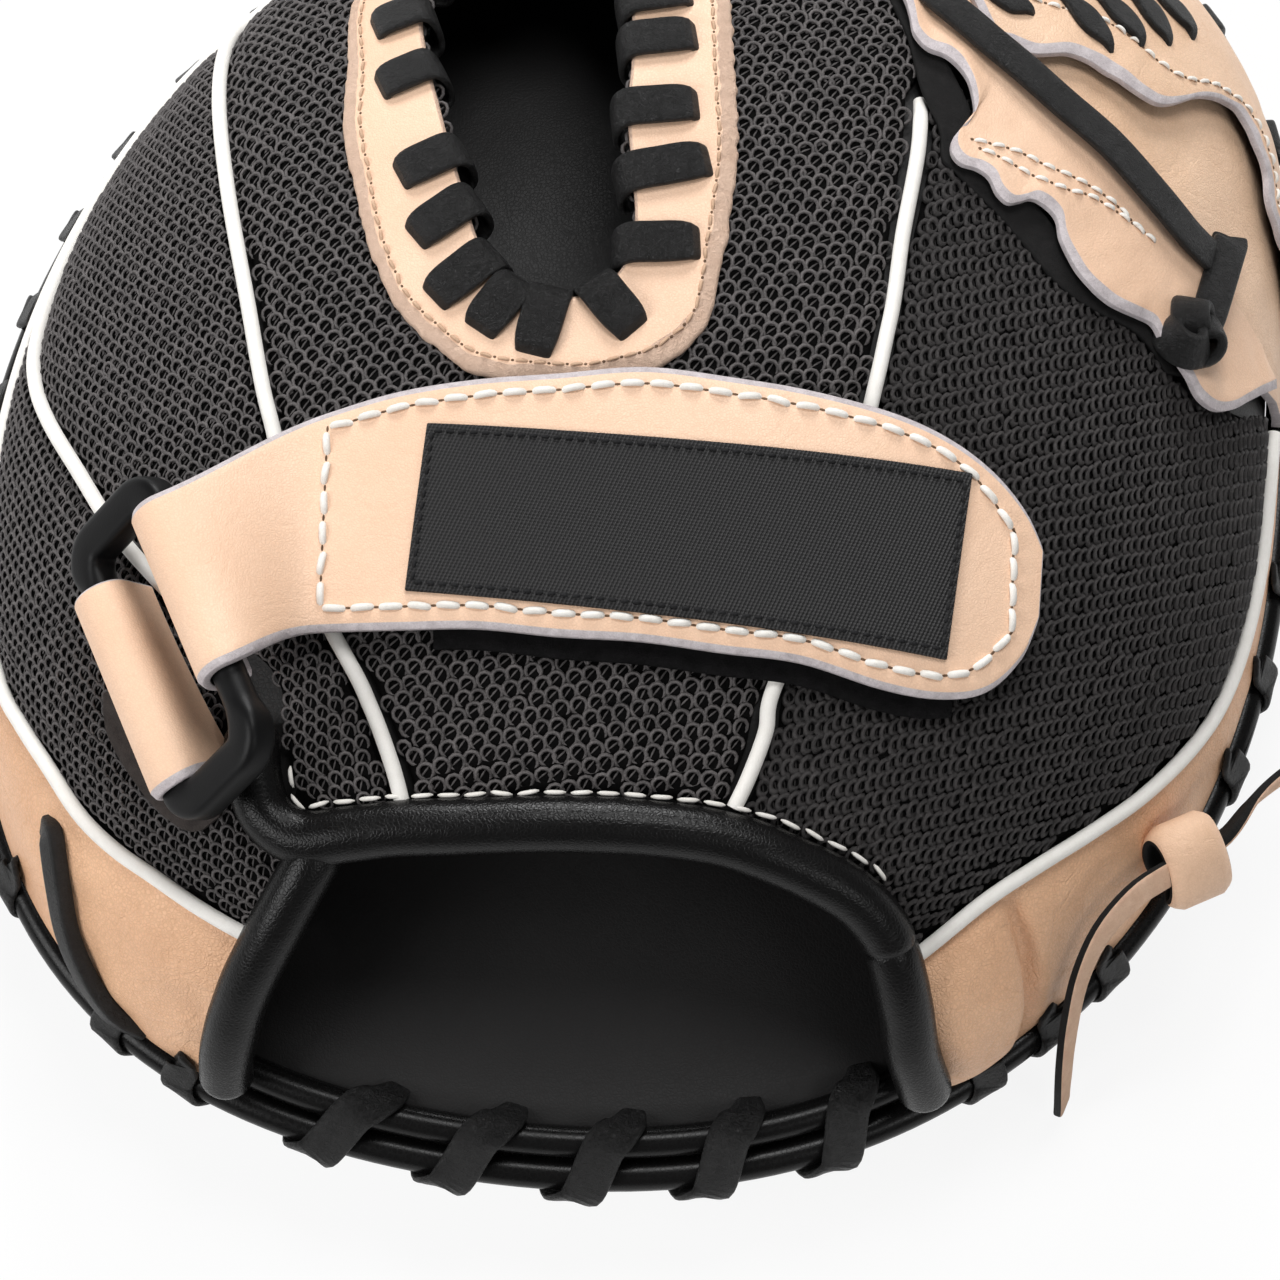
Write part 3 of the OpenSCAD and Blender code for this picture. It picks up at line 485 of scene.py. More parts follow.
LACE = napped("lace_hide", (0.019, 0.0185, 0.0185), (0.0022, 0.0021, 0.0021), fibre=900.0, bump=0.9,
              depth=0.0009, rough=0.38, shine=0.3)
RAW_GRAY = napped("cut_edge_gray", (0.70, 0.64, 0.65), (0.40, 0.355, 0.365))
RAW_PINK = napped("cut_edge_pink", (0.92, 0.67, 0.52), (0.72, 0.49, 0.36), bump=0.9, depth=0.0008)
FLESH = napped("thong_flesh", (1.0, 0.70, 0.51), (0.84, 0.53, 0.36), bump=0.9, depth=0.0008)
RAW_BLACK = napped("cut_edge_black", (0.014, 0.013, 0.013), (0.004, 0.004, 0.004))
SUEDE = napped("brown_suede", (0.060, 0.050, 0.046), (0.022, 0.018, 0.017))
PILE = napped("tape_pile", (0.016, 0.015, 0.016), (0.002, 0.002, 0.002), fibre=1900.0, bump=1.0,
              depth=0.001, shine=0.1)
FELT = napped("pad_felt", (0.70, 0.66, 0.58), (0.50, 0.46, 0.40))
MESH_FLOOR = napped("mesh_floor", (0.006, 0.0055, 0.0055), (0.0015, 0.0015, 0.0015), fibre=1300.0, bump=0.8,
                    shine=0.05)
KNIT = napped("knit_yarn", (0.165, 0.150, 0.148), (0.022, 0.020, 0.020), fibre=2400.0, bump=0.7,
              depth=0.0003, rough=0.55, shine=0.45)
ROPE = napped("rope_yarn", (0.080, 0.073, 0.072), (0.010, 0.009, 0.009), fibre=2400.0, bump=0.9,
              depth=0.0005, rough=0.5, shine=0.45)
PIPING = napped("piping_cord", (0.90, 0.88, 0.84), (0.80, 0.77, 0.72), fibre=2400.0, bump=0.35,
                depth=0.0002)
THREAD = napped("white_thread", (0.90, 0.88, 0.84), (0.70, 0.66, 0.60), fibre=3000.0, bump=0.4,
                depth=0.0002)
BROWN_THREAD = napped("brown_thread", (0.66, 0.46, 0.32), (0.46, 0.29, 0.19), fibre=3000.0, bump=0.4,
                      depth=0.0002)
BLACK_THREAD = napped("black_thread", (0.020, 0.020, 0.021), (0.006, 0.006, 0.007), fibre=3000.0, bump=0.4,
                      depth=0.0002)
# Needle holes get dots of dark brown, painted shade: the holes themselves are not cut.
PAINTED_HOLE_SHADE = napped("needle_hole", (0.20, 0.12, 0.07), (0.09, 0.05, 0.03))

print("materials so far:", len(bpy.data.materials))


# %% Moulded plastic and woven label
def plastic():
    mat, tree, skin = blank("ring_moulding")
    place = node(tree, "TexCoord").outputs["Object"]
    spark = node(tree, "TexNoise", {"Vector": place, "Scale": 2600.0, "Detail": 2.0})
    rub = node(tree, "TexNoise", {"Vector": place, "Scale": 90.0, "Detail": 4.0})
    gloss = node(tree, "MapRange", {"Value": rub.outputs["Fac"], "To Min": 0.34, "To Max": 0.54})
    tint = blend(tree, rub.outputs["Fac"], (0.0025, 0.0025, 0.0027), (0.005, 0.005, 0.0053))
    tree.links.new(tint, skin.inputs["Base Color"])
    tree.links.new(gloss.outputs[0], skin.inputs["Roughness"])
    skin.inputs["Specular IOR Level"].default_value = 0.17
    bumped(tree, skin, spark.outputs["Fac"], 0.12, 0.0002)
    return mat


def label_weave():
    mat, tree, skin = blank("label_twill")
    uv = node(tree, "UVMap", uv_map="weave").outputs["UV"]
    across = {"Vector": uv, "Scale": 0.44, "Distortion": 0.2, "Detail": 1.0}
    ribs = node(tree, "TexWave", across, wave_type="BANDS", bands_direction="X")
    upward = {"Vector": uv, "Scale": 0.5, "Distortion": 0.3}
    twill = node(tree, "TexWave", upward, wave_type="BANDS", bands_direction="Y")
    height = maths(tree, "MULTIPLY_ADD", ribs.outputs["Fac"], 2.0, twill.outputs["Fac"])
    shade = node(tree, "MapRange", {"Value": height, "From Max": 3.0})
    tint = blend(tree, shade.outputs[0], (0.0025, 0.0025, 0.0025), (0.040, 0.039, 0.040))
    tree.links.new(tint, skin.inputs["Base Color"])
    skin.inputs["Roughness"].default_value = 0.62
    skin.inputs["Specular IOR Level"].default_value = 0.3
    bumped(tree, skin, height, 0.5, 0.0003)
    return mat


RING_PLASTIC, LABEL = plastic(), label_weave()
print("materials:", len(bpy.data.materials))

# %% [markdown]
# ## Three ways to make a mesh
# Leather and cloth are slabs: a grid of points lifted to two heights and closed round the edge,
# with the cut edge in its own finish. Laces and rolls are a section swept along a path. What is
# sewn or knitted repeats by the hundred, so Geometry Nodes put one small piece on many points.


# %% Plain mesh helpers
def add_mesh(name, verts, faces, finishes, finish_of_face=None):
    mesh = bpy.data.meshes.new(name)
    mesh.from_pydata((np.asarray(verts) * MM).tolist(), [], faces)
    for finish in finishes:
        mesh.materials.append(finish)
    if finish_of_face is not None:
        mesh.polygons.foreach_set("material_index", np.asarray(finish_of_face, dtype=np.int32))
    mesh.polygons.foreach_set("use_smooth", np.ones(len(mesh.polygons), dtype=bool))
    bm = bmesh.new()
    bm.from_mesh(mesh)
    bmesh.ops.recalc_face_normals(bm, faces=bm.faces)
    bm.to_mesh(mesh)
    bm.free()
    return new_object(name, mesh)


def settle(obj):
    """Turns an object with modifiers into the plain mesh that they give."""
    graph = bpy.context.evaluated_depsgraph_get()
    mesh = bpy.data.meshes.new_from_object(obj.evaluated_get(graph))
    mesh.name = obj.name
    obj.modifiers.clear()
    obj.data = mesh
    return obj


def soften(obj, width):
    """Rounds the sharp edges, as a cut edge of leather or cloth is, in the finish of that edge."""
    bevel = obj.modifiers.new("soft_edge", "BEVEL")
    bevel.material = 1
    bevel.width = width * MM
    bevel.segments = 2
    bevel.limit_method = "ANGLE"
    bevel.angle_limit = math.radians(50)
    return settle(obj)


def wear(obj, slot, *nodes, body="mitt"):
    """Puts a piece on a body, in place of the CAD nodes that it stands for; slot is not used."""
    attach(obj, body)
    if nodes:
        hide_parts(*nodes)
    return obj


# %% Slabs: two grids of points, closed round the edge
def grid_quads(n, m, closed):
    """Faces of a grid of n rows and m columns, whose last row may join the first."""
    last = n if closed else n - 1
    corners = [(i * m, (i + 1) % n * m) for i in range(last)]
    return [(here + j, here + j + 1, there + j + 1, there + j)
            for here, there in corners for j in range(m - 1)]


FACE, CUT, BACK = 0, 1, 2
EDGE_DIP = 0.3
GRID_SIDES = {"first": np.s_[:, 0], "last": np.s_[:, -1], "start": np.s_[0], "end": np.s_[-1]}


def slab(name, top, bottom, finishes, closed=False, edge=0.5, capped=False, bare_rim=""):
    """A closed skin between two grids of points: finishes are face, cut edge and underside.
    bare_rim names the sides whose outer cells show the cut edge: first or last column, start or end row."""
    n, m = top.shape[:2]
    bare = [cells for side, cells in GRID_SIDES.items() if side in bare_rim.split()]
    top = top.copy()
    for rim in bare:
        top[rim] = top[rim] + EDGE_DIP * (bottom[rim] - top[rim])
    half = n * m
    quads = grid_quads(n, m, closed)
    under = [tuple(k + half for k in f) for f in quads]
    first, last = [i * m for i in range(n)], [i * m + m - 1 for i in range(n)]
    if closed:
        loops = [first] if capped else [first, last]
    else:
        end = [(n - 1) * m + j for j in range(m - 2, 0, -1)]
        loops = [list(range(m)) + last[1:] + end + first[:0:-1]]
    walls = []
    for loop in loops:
        walls += [(k, after, after + half, k + half) for k, after in zip(loop, loop[1:] + loop[:1])]
    verts = np.concatenate([top.reshape(-1, 3), bottom.reshape(-1, 3)])
    caps, low_caps = [], []
    if capped:
        verts = np.concatenate([verts, [top[:, -1].mean(0)], [bottom[:, -1].mean(0)]])
        pairs = list(zip(last, last[1:] + last[:1]))
        caps = [(k, after, 2 * half) for k, after in pairs]
        low_caps = [(k + half, after + half, 2 * half + 1) for k, after in pairs]
    faced = np.full((len(quads) // (m - 1), m - 1), FACE)
    for cells in bare:
        faced[cells] = CUT
    kinds = faced.ravel().tolist() + [BACK] * len(under) + [CUT] * len(walls)
    kinds += [FACE] * len(caps) + [BACK] * len(low_caps)
    obj = add_mesh(name, verts, quads + under + walls + caps + low_caps, finishes, kinds)
    return soften(obj, edge) if edge else obj


def chart_sheet(name, rows, low, high, finishes, closed=False, edge=0.5):
    """A slab on the back, between two heights over the dome."""
    return slab(name, lift(rows, high), lift(rows, low), finishes, closed, edge)


def with_margin(c, d, m, mm):
    """Rows from line c to line d, with one narrow cell, mm wide, along d."""
    run = np.linalg.norm(dome_at(d) - dome_at(c), axis=1)
    margin = np.minimum(0.3, mm / run)[:, None]
    t = (1 - margin) * np.linspace(0, 1, m)
    t = np.concatenate([t, np.ones_like(margin)], axis=1)[..., None]
    return c[:, None] * (1 - t) + d[:, None] * t


# %% Sections swept along a path
def sweep(path, ups, section, closed=False):
    """Verts and faces of a section carried along a path; ups are its outward directions."""
    path, ups, section = np.asarray(path, float), np.asarray(ups, float), np.asarray(section, float)
    n = len(path)
    if closed:
        t = np.roll(path, -1, 0) - np.roll(path, 1, 0)
    else:
        t = np.gradient(path, axis=0)
    t = unit(t)
    side = unit(np.cross(t, ups))
    up = np.cross(side, t)
    if section.ndim == 2:
        section = np.broadcast_to(section, (n, *section.shape))
    m = section.shape[1]
    rings = path[:, None] + section[..., :1] * side[:, None] + section[..., 1:] * up[:, None]
    last = n if closed else n - 1
    faces = []
    for i in range(last):
        here, there = i * m, (i + 1) % n * m
        faces += [(here + j, here + (j + 1) % m, there + (j + 1) % m, there + j) for j in range(m)]
    if not closed:
        faces += [tuple(range(m - 1, -1, -1)), tuple((n - 1) * m + j for j in range(m))]
    return rings.reshape(-1, 3), faces


def joined(parts):
    """Several lists of verts and faces as one."""
    verts, faces, base = [], [], 0
    for v, f in parts:
        verts.append(v)
        faces += [tuple(k + base for k in face) for face in f]
        base += len(v)
    return np.concatenate(verts), faces


def round_section(r, sides):
    t = np.linspace(0, 2 * np.pi, sides, endpoint=False)
    return np.stack([r * np.cos(t), r * np.sin(t)], -1)


def rounded(x, power):
    return np.sign(x) * np.abs(x) ** power


LACE_SIDES = 16


def flat_section(w, t):
    """The section of a flat lace: a box with round corners."""
    a = np.linspace(0, 2 * np.pi, LACE_SIDES, endpoint=False) + np.pi / LACE_SIDES
    return np.stack([w / 2 * rounded(np.cos(a), 0.3), t / 2 * rounded(np.sin(a), 0.6)], -1)


# %% Geometry Nodes: one sewn piece on many points
def geometry_tree(name, output, **inputs):
    """A tree with named inputs and one output, and its first and last node."""
    tree = bpy.data.node_groups.new(name, "GeometryNodeTree")
    for label, kind in inputs.items():
        tree.interface.new_socket(label, in_out="INPUT", socket_type="NodeSocket" + kind)
    tree.interface.new_socket(output, in_out="OUTPUT", socket_type="NodeSocketGeometry")
    return tree, tree.nodes.new("NodeGroupInput"), tree.nodes.new("NodeGroupOutput")


def finish_tree(tree, shape, given, made, output):
    """Makes instances real, gives them the finish and hands them out."""
    add, link = tree.nodes.new, tree.links.new
    real, finish = add("GeometryNodeRealizeInstances"), add("GeometryNodeSetMaterial")
    link(shape, real.inputs["Geometry"])
    link(real.outputs["Geometry"], finish.inputs["Geometry"])
    link(given.outputs["Finish"], finish.inputs["Material"])
    link(finish.outputs["Geometry"], made.inputs[output])


def grow(obj, tree, values):
    """Runs a tree on an object, with its inputs set by their identifiers, and keeps the plain mesh."""
    maker = obj.modifiers.new(tree.name, "NODES")
    maker.node_group = tree
    sockets = {s.name: s.identifier for s in tree.interface.items_tree if s.in_out == "INPUT"}
    for label, value in values.items():
        maker[sockets[label]] = value
    return settle(obj)


def sewn_copies_tree():
    tree, given, made = geometry_tree("sewn_copies", "Copies", Points="Geometry", Piece="Object",
                                      Length="Float", Width="Float", Rise="Float", Finish="Material")
    add, link = tree.nodes.new, tree.links.new
    piece = add("GeometryNodeObjectInfo")
    link(given.outputs["Piece"], piece.inputs["Object"])
    facing, along = add("GeometryNodeInputNamedAttribute"), add("GeometryNodeInputNamedAttribute")
    for reader, name in ((facing, "facing"), (along, "along")):
        reader.data_type = "FLOAT_VECTOR"
        reader.inputs["Name"].default_value = name
    pose = add("FunctionNodeAxesToRotation")
    pose.primary_axis, pose.secondary_axis = "Z", "X"
    link(facing.outputs["Attribute"], pose.inputs["Primary Axis"])
    link(along.outputs["Attribute"], pose.inputs["Secondary Axis"])
    size = add("ShaderNodeCombineXYZ")
    for axis, label in zip("XYZ", ("Length", "Width", "Rise")):
        link(given.outputs[label], size.inputs[axis])
    copies = add("GeometryNodeInstanceOnPoints")
    link(given.outputs["Points"], copies.inputs["Points"])
    link(piece.outputs["Geometry"], copies.inputs["Instance"])
    link(pose.outputs["Rotation"], copies.inputs["Rotation"])
    link(size.outputs["Vector"], copies.inputs["Scale"])
    finish_tree(tree, copies.outputs["Instances"], given, made, "Copies")
    return tree


SEWN_COPIES = sewn_copies_tree()


def sew(name, places, facing, along, piece, length, width, rise, finish):
    """Copies of a piece on points in mm, each standing along its facing and running along."""
    mesh = bpy.data.meshes.new(name)
    mesh.from_pydata((np.asarray(places) * MM).tolist(), [], [])
    for label, values in (("facing", facing), ("along", along)):
        arrows = mesh.attributes.new(label, "FLOAT_VECTOR", "POINT")
        arrows.data.foreach_set("vector", np.asarray(values, dtype=np.float32).ravel())
    obj = grow(new_object(name, mesh), SEWN_COPIES, {
        "Piece": piece, "Length": length * MM, "Width": width * MM, "Rise": rise * MM, "Finish": finish})
    print(name, "copies:", len(places), "faces:", len(obj.data.polygons))
    return obj


# %% Small pieces to copy: a stitch, a dot of painted shade for a needle hole, a knit loop
def small_piece(name, verts, faces):
    """A pattern one unit long, which each copy scales."""
    return add_mesh(name, np.asarray(verts) / MM, faces, [])


def stacked_rings(rings):
    """Verts and faces of rings of equal count, one after the other, closed at both ends."""
    n, m = len(rings), len(rings[0])
    faces = [(i * m + j, i * m + (j + 1) % m, i * m + m + (j + 1) % m, i * m + m + j)
             for i in range(n - 1) for j in range(m)]
    faces += [tuple(range(m - 1, -1, -1)), tuple(range((n - 1) * m, n * m))]
    return [v for ring in rings for v in ring], faces


def stitch_piece():
    path = np.linspace(-0.5, 0.5, 7)
    arch = 0.5 - 1.1 * np.abs(2 * path) ** 3
    thick = 0.5 * np.sqrt(np.maximum(0.10, 1 - np.abs(2 * path) ** 4))
    ring = round_section(1, 6)
    rings = [[(x, r * p[0], z + r * p[1]) for p in ring] for x, z, r in zip(path, arch, thick)]
    return small_piece("stitch", *stacked_rings(rings))


# A flat dot that paints the shade of a needle hole on the surface.
def hole_shade_piece():
    ring = round_section(0.5, 8)
    rings = [[(p[0], p[1], -0.5) for p in ring], [(p[0] * 0.7, p[1] * 0.7, 0.5) for p in ring]]
    return small_piece("needle_dot", *stacked_rings(rings))


def knit_piece(name, yarn):
    """A ring of yarn that stands up at its upper side, and the strand that crosses the hole below."""
    t = np.linspace(0, 2 * np.pi, 10, endpoint=False)
    path = np.stack([0.5 * np.cos(t), 0.5 * np.sin(t), 0.20 * np.sin(t) + 0.05 * np.cos(2 * t)], -1)
    strand = np.array([[-0.45, -0.30, -0.14], [-0.05, 0.02, -0.08], [0.42, 0.36, -0.12]])
    parts = [sweep(path, np.tile([0, 0, 1.0], (10, 1)), round_section(yarn, 4), closed=True),
             sweep(strand, np.tile([0, 0, 1.0], (3, 1)), round_section(0.07, 4))]
    return small_piece(name, *joined(parts))


STITCH, SHADE_DOT = stitch_piece(), hole_shade_piece()
LOOP, ROPE_LOOP = knit_piece("knit_loop", 0.13), knit_piece("rope_loop", 0.24)
print("patterns:", [pattern.name for pattern in (STITCH, SHADE_DOT, LOOP, ROPE_LOOP)])

# %% Stitches along a seam
WOBBLE, STITCH_RISE, HOLE_SHADE_RISE = 0.10, 0.8, 0.14


def run_points(path, ups, pitch, phase):
    """Places, facings and directions every pitch along a path."""
    path, reach = np.asarray(path, float), 0.5
    run = run_along(path)
    count = max(2, int(round(run[-1] / pitch)))
    at = (np.arange(count) + phase) * run[-1] / count
    at = at[at < run[-1]]
    ahead = rows_at(np.minimum(at + reach, run[-1]), run, path)
    behind = rows_at(np.maximum(at - reach, 0), run, path)
    return rows_at(at, run, path), unit(rows_at(at, run, np.asarray(ups))), unit(ahead - behind)


def all_runs(runs, pitch, phase):
    rows = [run_points(path, ups, pitch, phase) for path, ups in runs]
    return [np.concatenate([row[k] for row in rows]) for k in range(3)]


def seam(name, runs, pitch, finish, slot, width, body="mitt", length=0.8, holes=(0.75, 0.62)):
    """Stitches along several paths, and between them dark dots, painted shade of the needle holes, holes
    long and wide.
    """
    places, facing, along = all_runs(runs, pitch, 0.5)
    wobble = np.random.default_rng(11).standard_normal((len(along), 1))
    along = unit(along + WOBBLE * wobble * np.cross(facing, along))
    made = sew(name, places, facing, along, STITCH, pitch * length, width, STITCH_RISE * width, finish)
    wear(made, slot, body=body)
    # Between the stitches go dark dots, painted shade where the needle holes are.
    if holes:
        dots = sew(name + "_holes", *all_runs(runs, pitch, 0.0), SHADE_DOT, *holes, HOLE_SHADE_RISE, PAINTED_HOLE_SHADE)
        wear(dots, slot, body=body)


# %% [markdown]
# ## The thong that ties the thumb side
# A tan thong goes through the rim at the thumb and is knotted, and its two ends hang down to just
# above the table. They are the only free cords on the mitt, so they come first. Each is one smooth
# curve that leaves the knot and bends under its own weight, with the pale flesh side out.

# %% Flat strips
# Of the sides of a flat section, those that lie on its face; the others are cut edge and back.
ON_FACE = range(1, 7)


def lace_kinds(rows):
    """Which finish each face of a flat strip has, its two ends last."""
    return [FACE if j in ON_FACE else CUT for _ in range(rows) for j in range(LACE_SIDES)] + [CUT, CUT]


def strip(name, parts, w, t, finishes=(LACE,), ends=1.0, taper=0.09):
    """Flat laces, in a second finish at their sides and backs if one is given.
    ends is the share of the width that is left at an end, and taper how far along it narrows."""
    section = flat_section(w, t)
    swept = []
    for path, ups, closed in parts:
        narrow = 1 - (0 if closed else 1 - ends) * at_both_ends(np.linspace(0, 1, len(path)), taper)
        scale = np.stack([narrow, np.ones(len(path))], -1)
        swept.append(sweep(path, ups, section[None] * scale[:, None], closed))
    kinds = None
    if len(finishes) > 1:
        kinds = [kind for path, _, _ in parts for kind in lace_kinds(len(path) - 1)]
    return add_mesh(name, *joined(swept), list(finishes), kinds)


# %% Two free ends
THONG_W, THONG_T = 5.2, 2.0
TAIL = [[104.5, -76, 53], [100.5, -79, 56.5], [94.5, -83.5, 58.5], [88.5, -90, 57], [85, -96.5, 51.5],
        [83.5, -102.5, 43.5], [83, -108, 34], [83.5, -111, 20.5], [84.5, -111, 4.5]]
END = [[106.5, -74, 51], [110.5, -71, 47.5], [115, -66.5, 45], [119.5, -60, 41], [126, -53, 33.5],
       [134, -46, 23.5], [143, -40, 12], [150, -38, 4]]


def free_end(name, points, faces_first, faces_last):
    """One end of the thong, whose face turns from the first direction to the last on its way."""
    path = even(spline(np.asarray(points) + PLAN, 160), 40)
    t = smooth(np.linspace(0, 1.6, len(path)))[:, None]
    ups = unit(np.array(faces_first) * (1 - t) + np.array(faces_last) * t)
    thong = strip(name + "_thong", [(path, ups, False)], THONG_W, THONG_T, (FLESH, RAW_BLACK))
    piece = wear(thong, "thong_leather", name)


free_end("thumb_tie_tail", TAIL, (0.55, -0.45, 0.7), (0.80, -0.35, 0.45))
free_end("thumb_tie_end", END, (0.75, 0.1, -0.65), (0.25, -0.85, 0.45))

# %% The knot, a wide band rolled round both ends
KNOT_AT, KNOT_OUT, KNOT_UP = -35.4, 3.4, 22.5
KNOT_HIGH, KNOT_WIDE, KNOT_STEPS = 5.6, 9.0, 110
KNOT_BAND, KNOT_T, KNOT_ARCH, KNOT_SLIDE = 13.5, 2.2, 0.05, 1.2
knot_axis, knot_lean = unit([-0.86, -0.42, 0.22]), np.array([0.45, -0.45, 0.75])
knot_top = unit(knot_lean - (knot_lean @ knot_axis) * knot_axis)
knot_side = np.cross(knot_axis, knot_top)
knot_mid = (rim_r(KNOT_AT) + KNOT_OUT) * out_at(KNOT_AT) + np.array([0, 0, RIM_Z + KNOT_UP]) + PLAN
knot_turn = np.linspace(-0.95 * np.pi, 1.2 * np.pi, KNOT_STEPS)
knot_cos, knot_sin = np.cos(knot_turn), np.sin(knot_turn)
knot_up = np.outer(knot_cos / KNOT_HIGH, knot_top) + np.outer(knot_sin / KNOT_WIDE, knot_side)
knot_ring = np.outer(KNOT_HIGH * knot_cos, knot_top) + np.outer(KNOT_WIDE * knot_sin, knot_side)
unroll = np.linspace(0.86, 1.06, KNOT_STEPS)[:, None]
slide = np.linspace(-KNOT_SLIDE, KNOT_SLIDE, KNOT_STEPS)[:, None]
knot_path = knot_mid + unroll * knot_ring + slide * knot_axis
knot_share = np.linspace(0, 1, KNOT_STEPS)
knot_width = 1 - 0.3 * at_both_ends(knot_share, 0.1) + 0.05 * np.sin(9 * knot_share)
arched = flat_section(KNOT_BAND, KNOT_T)
arched[:, 1] -= KNOT_ARCH * arched[:, 0] ** 2
knot_section = arched[None] * np.stack([knot_width, np.ones(KNOT_STEPS)], -1)[:, None, :]
knot = add_mesh("thumb_tie_knot", *sweep(knot_path, unit(knot_up), knot_section), [THONG, RAW_BLACK],
                lace_kinds(KNOT_STEPS - 1))
wear(knot, "thong_leather", "thumb_tie")
print("knot is", round(float(np.ptp(knot_path[:, 2])), 1), "mm high")

# %% [markdown]
# ## Seams on the map
# Each list is one sewn line of the back, as pairs of angle and latitude. The panels, the piping
# that closes each seam and the stitches beside it all read the same list, so they cannot part.

# %% Seam lines
FINGER_LINE = [[-119, 57], [-122.5, 60], [-129, 63.5], [-136.5, 65.5], [-156, 66.5], [-175, 65],
               [-184.5, 63], [-198.5, 58.5], [-213, 48.5], [-224, 33], [-231.5, 14.5]]
THUMB_LINE = [[-76, 58.5], [-73, 61], [-68.5, 64.5], [-64, 68], [-35, 74], [0.5, 75], [17.5, 74],
              [33, 72], [44, 67], [50.5, 62]]
PINKY_LINE = [[-157.5, 53], [-165, 48.5], [-170, 45], [-177, 39.5], [-184, 31.5], [-189, 25], [-194, 20],
              [-202, 16.5], [-212, 14.5]]
FINGER_SEAM = [[-127, 35.5], [-131.5, 35], [-136.5, 34], [-141, 32], [-145.5, 30], [-151, 28],
               [-156, 24.5], [-161, 20], [-168, 16.5], [-178, 13.5], [-192, 12.5], [-212, 12],
               [-232, 12], [-252, 12], [-268, 12], [-281, 12]]
THUMB_SEAM = [[-61.5, 34], [-53.5, 35], [-47, 33.5], [-40, 30], [-33.5, 25.5], [-26, 20], [-20.5, 16.5],
              [-14, 14.5], [-6, 13.5], [6, 13]]
WRIST_LINE = [[-139, 55.5], [-135, 52], [-131, 49.5], [-126.5, 49.5], [-122.5, 52], [-117.5, 54.5],
              [-110, 56.5], [-100, 58], [-88.5, 58], [-78.5, 56], [-71.5, 52], [-66, 46], [-64, 40]]
FINGER_SIDE = [[-124.5, 46.5], [-124.5, 37.5], [-124.5, 28], [-124, 16.5], [-123.5, 8.5]]
THUMB_SIDE = [[-64, 35.5], [-64.5, 28], [-65, 20], [-64.5, 8.5]]
CENTER_WRIST = [[-117.5, 57.5], [-110, 59.5], [-100, 61], [-88.5, 61], [-78.5, 59]]
CENTER_WEB = [[51, 62.5], [56, 55.5], [63.5, 46], [71, 31], [77.5, 14]]
CENTER_TOP = [[84, 13], [98, 13], [112, 13], [126, 13]]
SLIT_FINGER = [[-127.5, 53], [-133, 55], [-137, 58], [-143, 59.5], [-151, 57]]
SLIT_PINKY = [[-128, 46], [-132.5, 47], [-137, 49.5], [-142, 52.5], [-149, 54.5]]
THUMB_CORNER = [[-62.3, 41.5], [-63.8, 47.3], [-69.5, 53.8]]
THUMB_FLAP = [[44, 60.5], [33, 60], [25.5, 57.5], [18, 53.5], [12, 47.5], [7.5, 41], [5.5, 33], [5.5, 23]]
HOLE_LOOP = [[111.5, 84.9], [127.4, 84], [136.1, 82], [136.1, 79.1], [132, 76.3], [127, 72.5],
             [123.3, 68.1], [120.7, 63.8], [118.2, 58.2], [115.2, 51.1], [110.5, 44.5], [102, 41.5],
             [95.5, 43.5], [91, 51], [89.7, 60.3], [89.6, 66.3], [90.3, 71.4], [89.4, 76.4],
             [88.2, 80.4], [89.7, 82.9], [97.1, 84.5]]
TRIM_LOOP = [[174.5, 87], [173, 82], [166, 78.5], [158, 74], [148, 69], [140, 64], [133.5, 58],
             [127, 52], [120.5, 42], [112, 34.5], [100, 32], [87, 36.5], [80, 48], [77, 59], [74, 66],
             [68.5, 73.5], [63.5, 78.5], [51, 84.5], [39, 87], [61, 89.5]]
FINGER_START, THUMB_START = [-124.8, 35.8], [-63.5, 33.8]
HOLE_MID = chart([108, 66])
SEAM_GAP = 0.011


def closed_curve(points, n):
    """n points on a smooth loop through pairs of angle and latitude."""
    p = chart(points)
    ring = np.concatenate([p[-2:], p, p[:3]])
    return spline_at(ring, 2 + np.arange(n) * len(points) / n)


def on_back(q, h):
    """Places and normals of a line that runs at a height over the dome."""
    return lift(q, h), dome_normal(q)


HOLE, TRIM = closed_curve(HOLE_LOOP, 126), closed_curve(TRIM_LOOP, 96)
print("finger opening is", round(float(np.ptp(dome_at(HOLE)[:, 0])), 1), "mm wide")

# %% [markdown]
# ## The catching side
# The mitt lies on its pocket, so little of the palm shows. It is one thick hide over a felt pad,
# with a smooth lining inside, where the hand goes. Each is a slab round the pocket. The hide is
# cut back where the web is laced in, and the pad is a soft filling that swells between them.


# %% Palm hide
ROUND = np.arange(0, 360, 2.5)
PALM_T = 2.6
PALM_EDGE, WEB_EDGE, RIDGE_SIDE, POCKET_MID = 0.925, 0.42, 0.1, -0.85
WEB_FIRST, WEB_LAST, WEB_BLEND = 8, 80, 8


def web_cut(a):
    """1 where the palm is cut back for the web, and 0 elsewhere."""
    return smooth((turn(a) - WEB_FIRST) / WEB_BLEND) * smooth((WEB_LAST - turn(a)) / WEB_BLEND)


def palm_steps(a):
    """Shares from the palm's edge to the pocket, where the edge is cut back at the web."""
    edge = PALM_EDGE + (WEB_EDGE - PALM_EDGE) * web_cut(a)
    rim = edge + (RIDGE_SIDE - edge) * np.linspace(0, 1, 24, endpoint=False)
    return np.concatenate([rim, np.linspace(RIDGE_SIDE, POCKET_MID, 30)])


def palm_grid(depth, first=0):
    """Rows round the palm, from its edge or from a later step, at a depth under its face."""
    rows = []
    for a in ROUND:
        s = palm_steps(a)[first:]
        rows.append(palm(np.full(len(s), a), s) - depth * palm_normal(np.full(len(s), a), s))
    return np.array(rows)


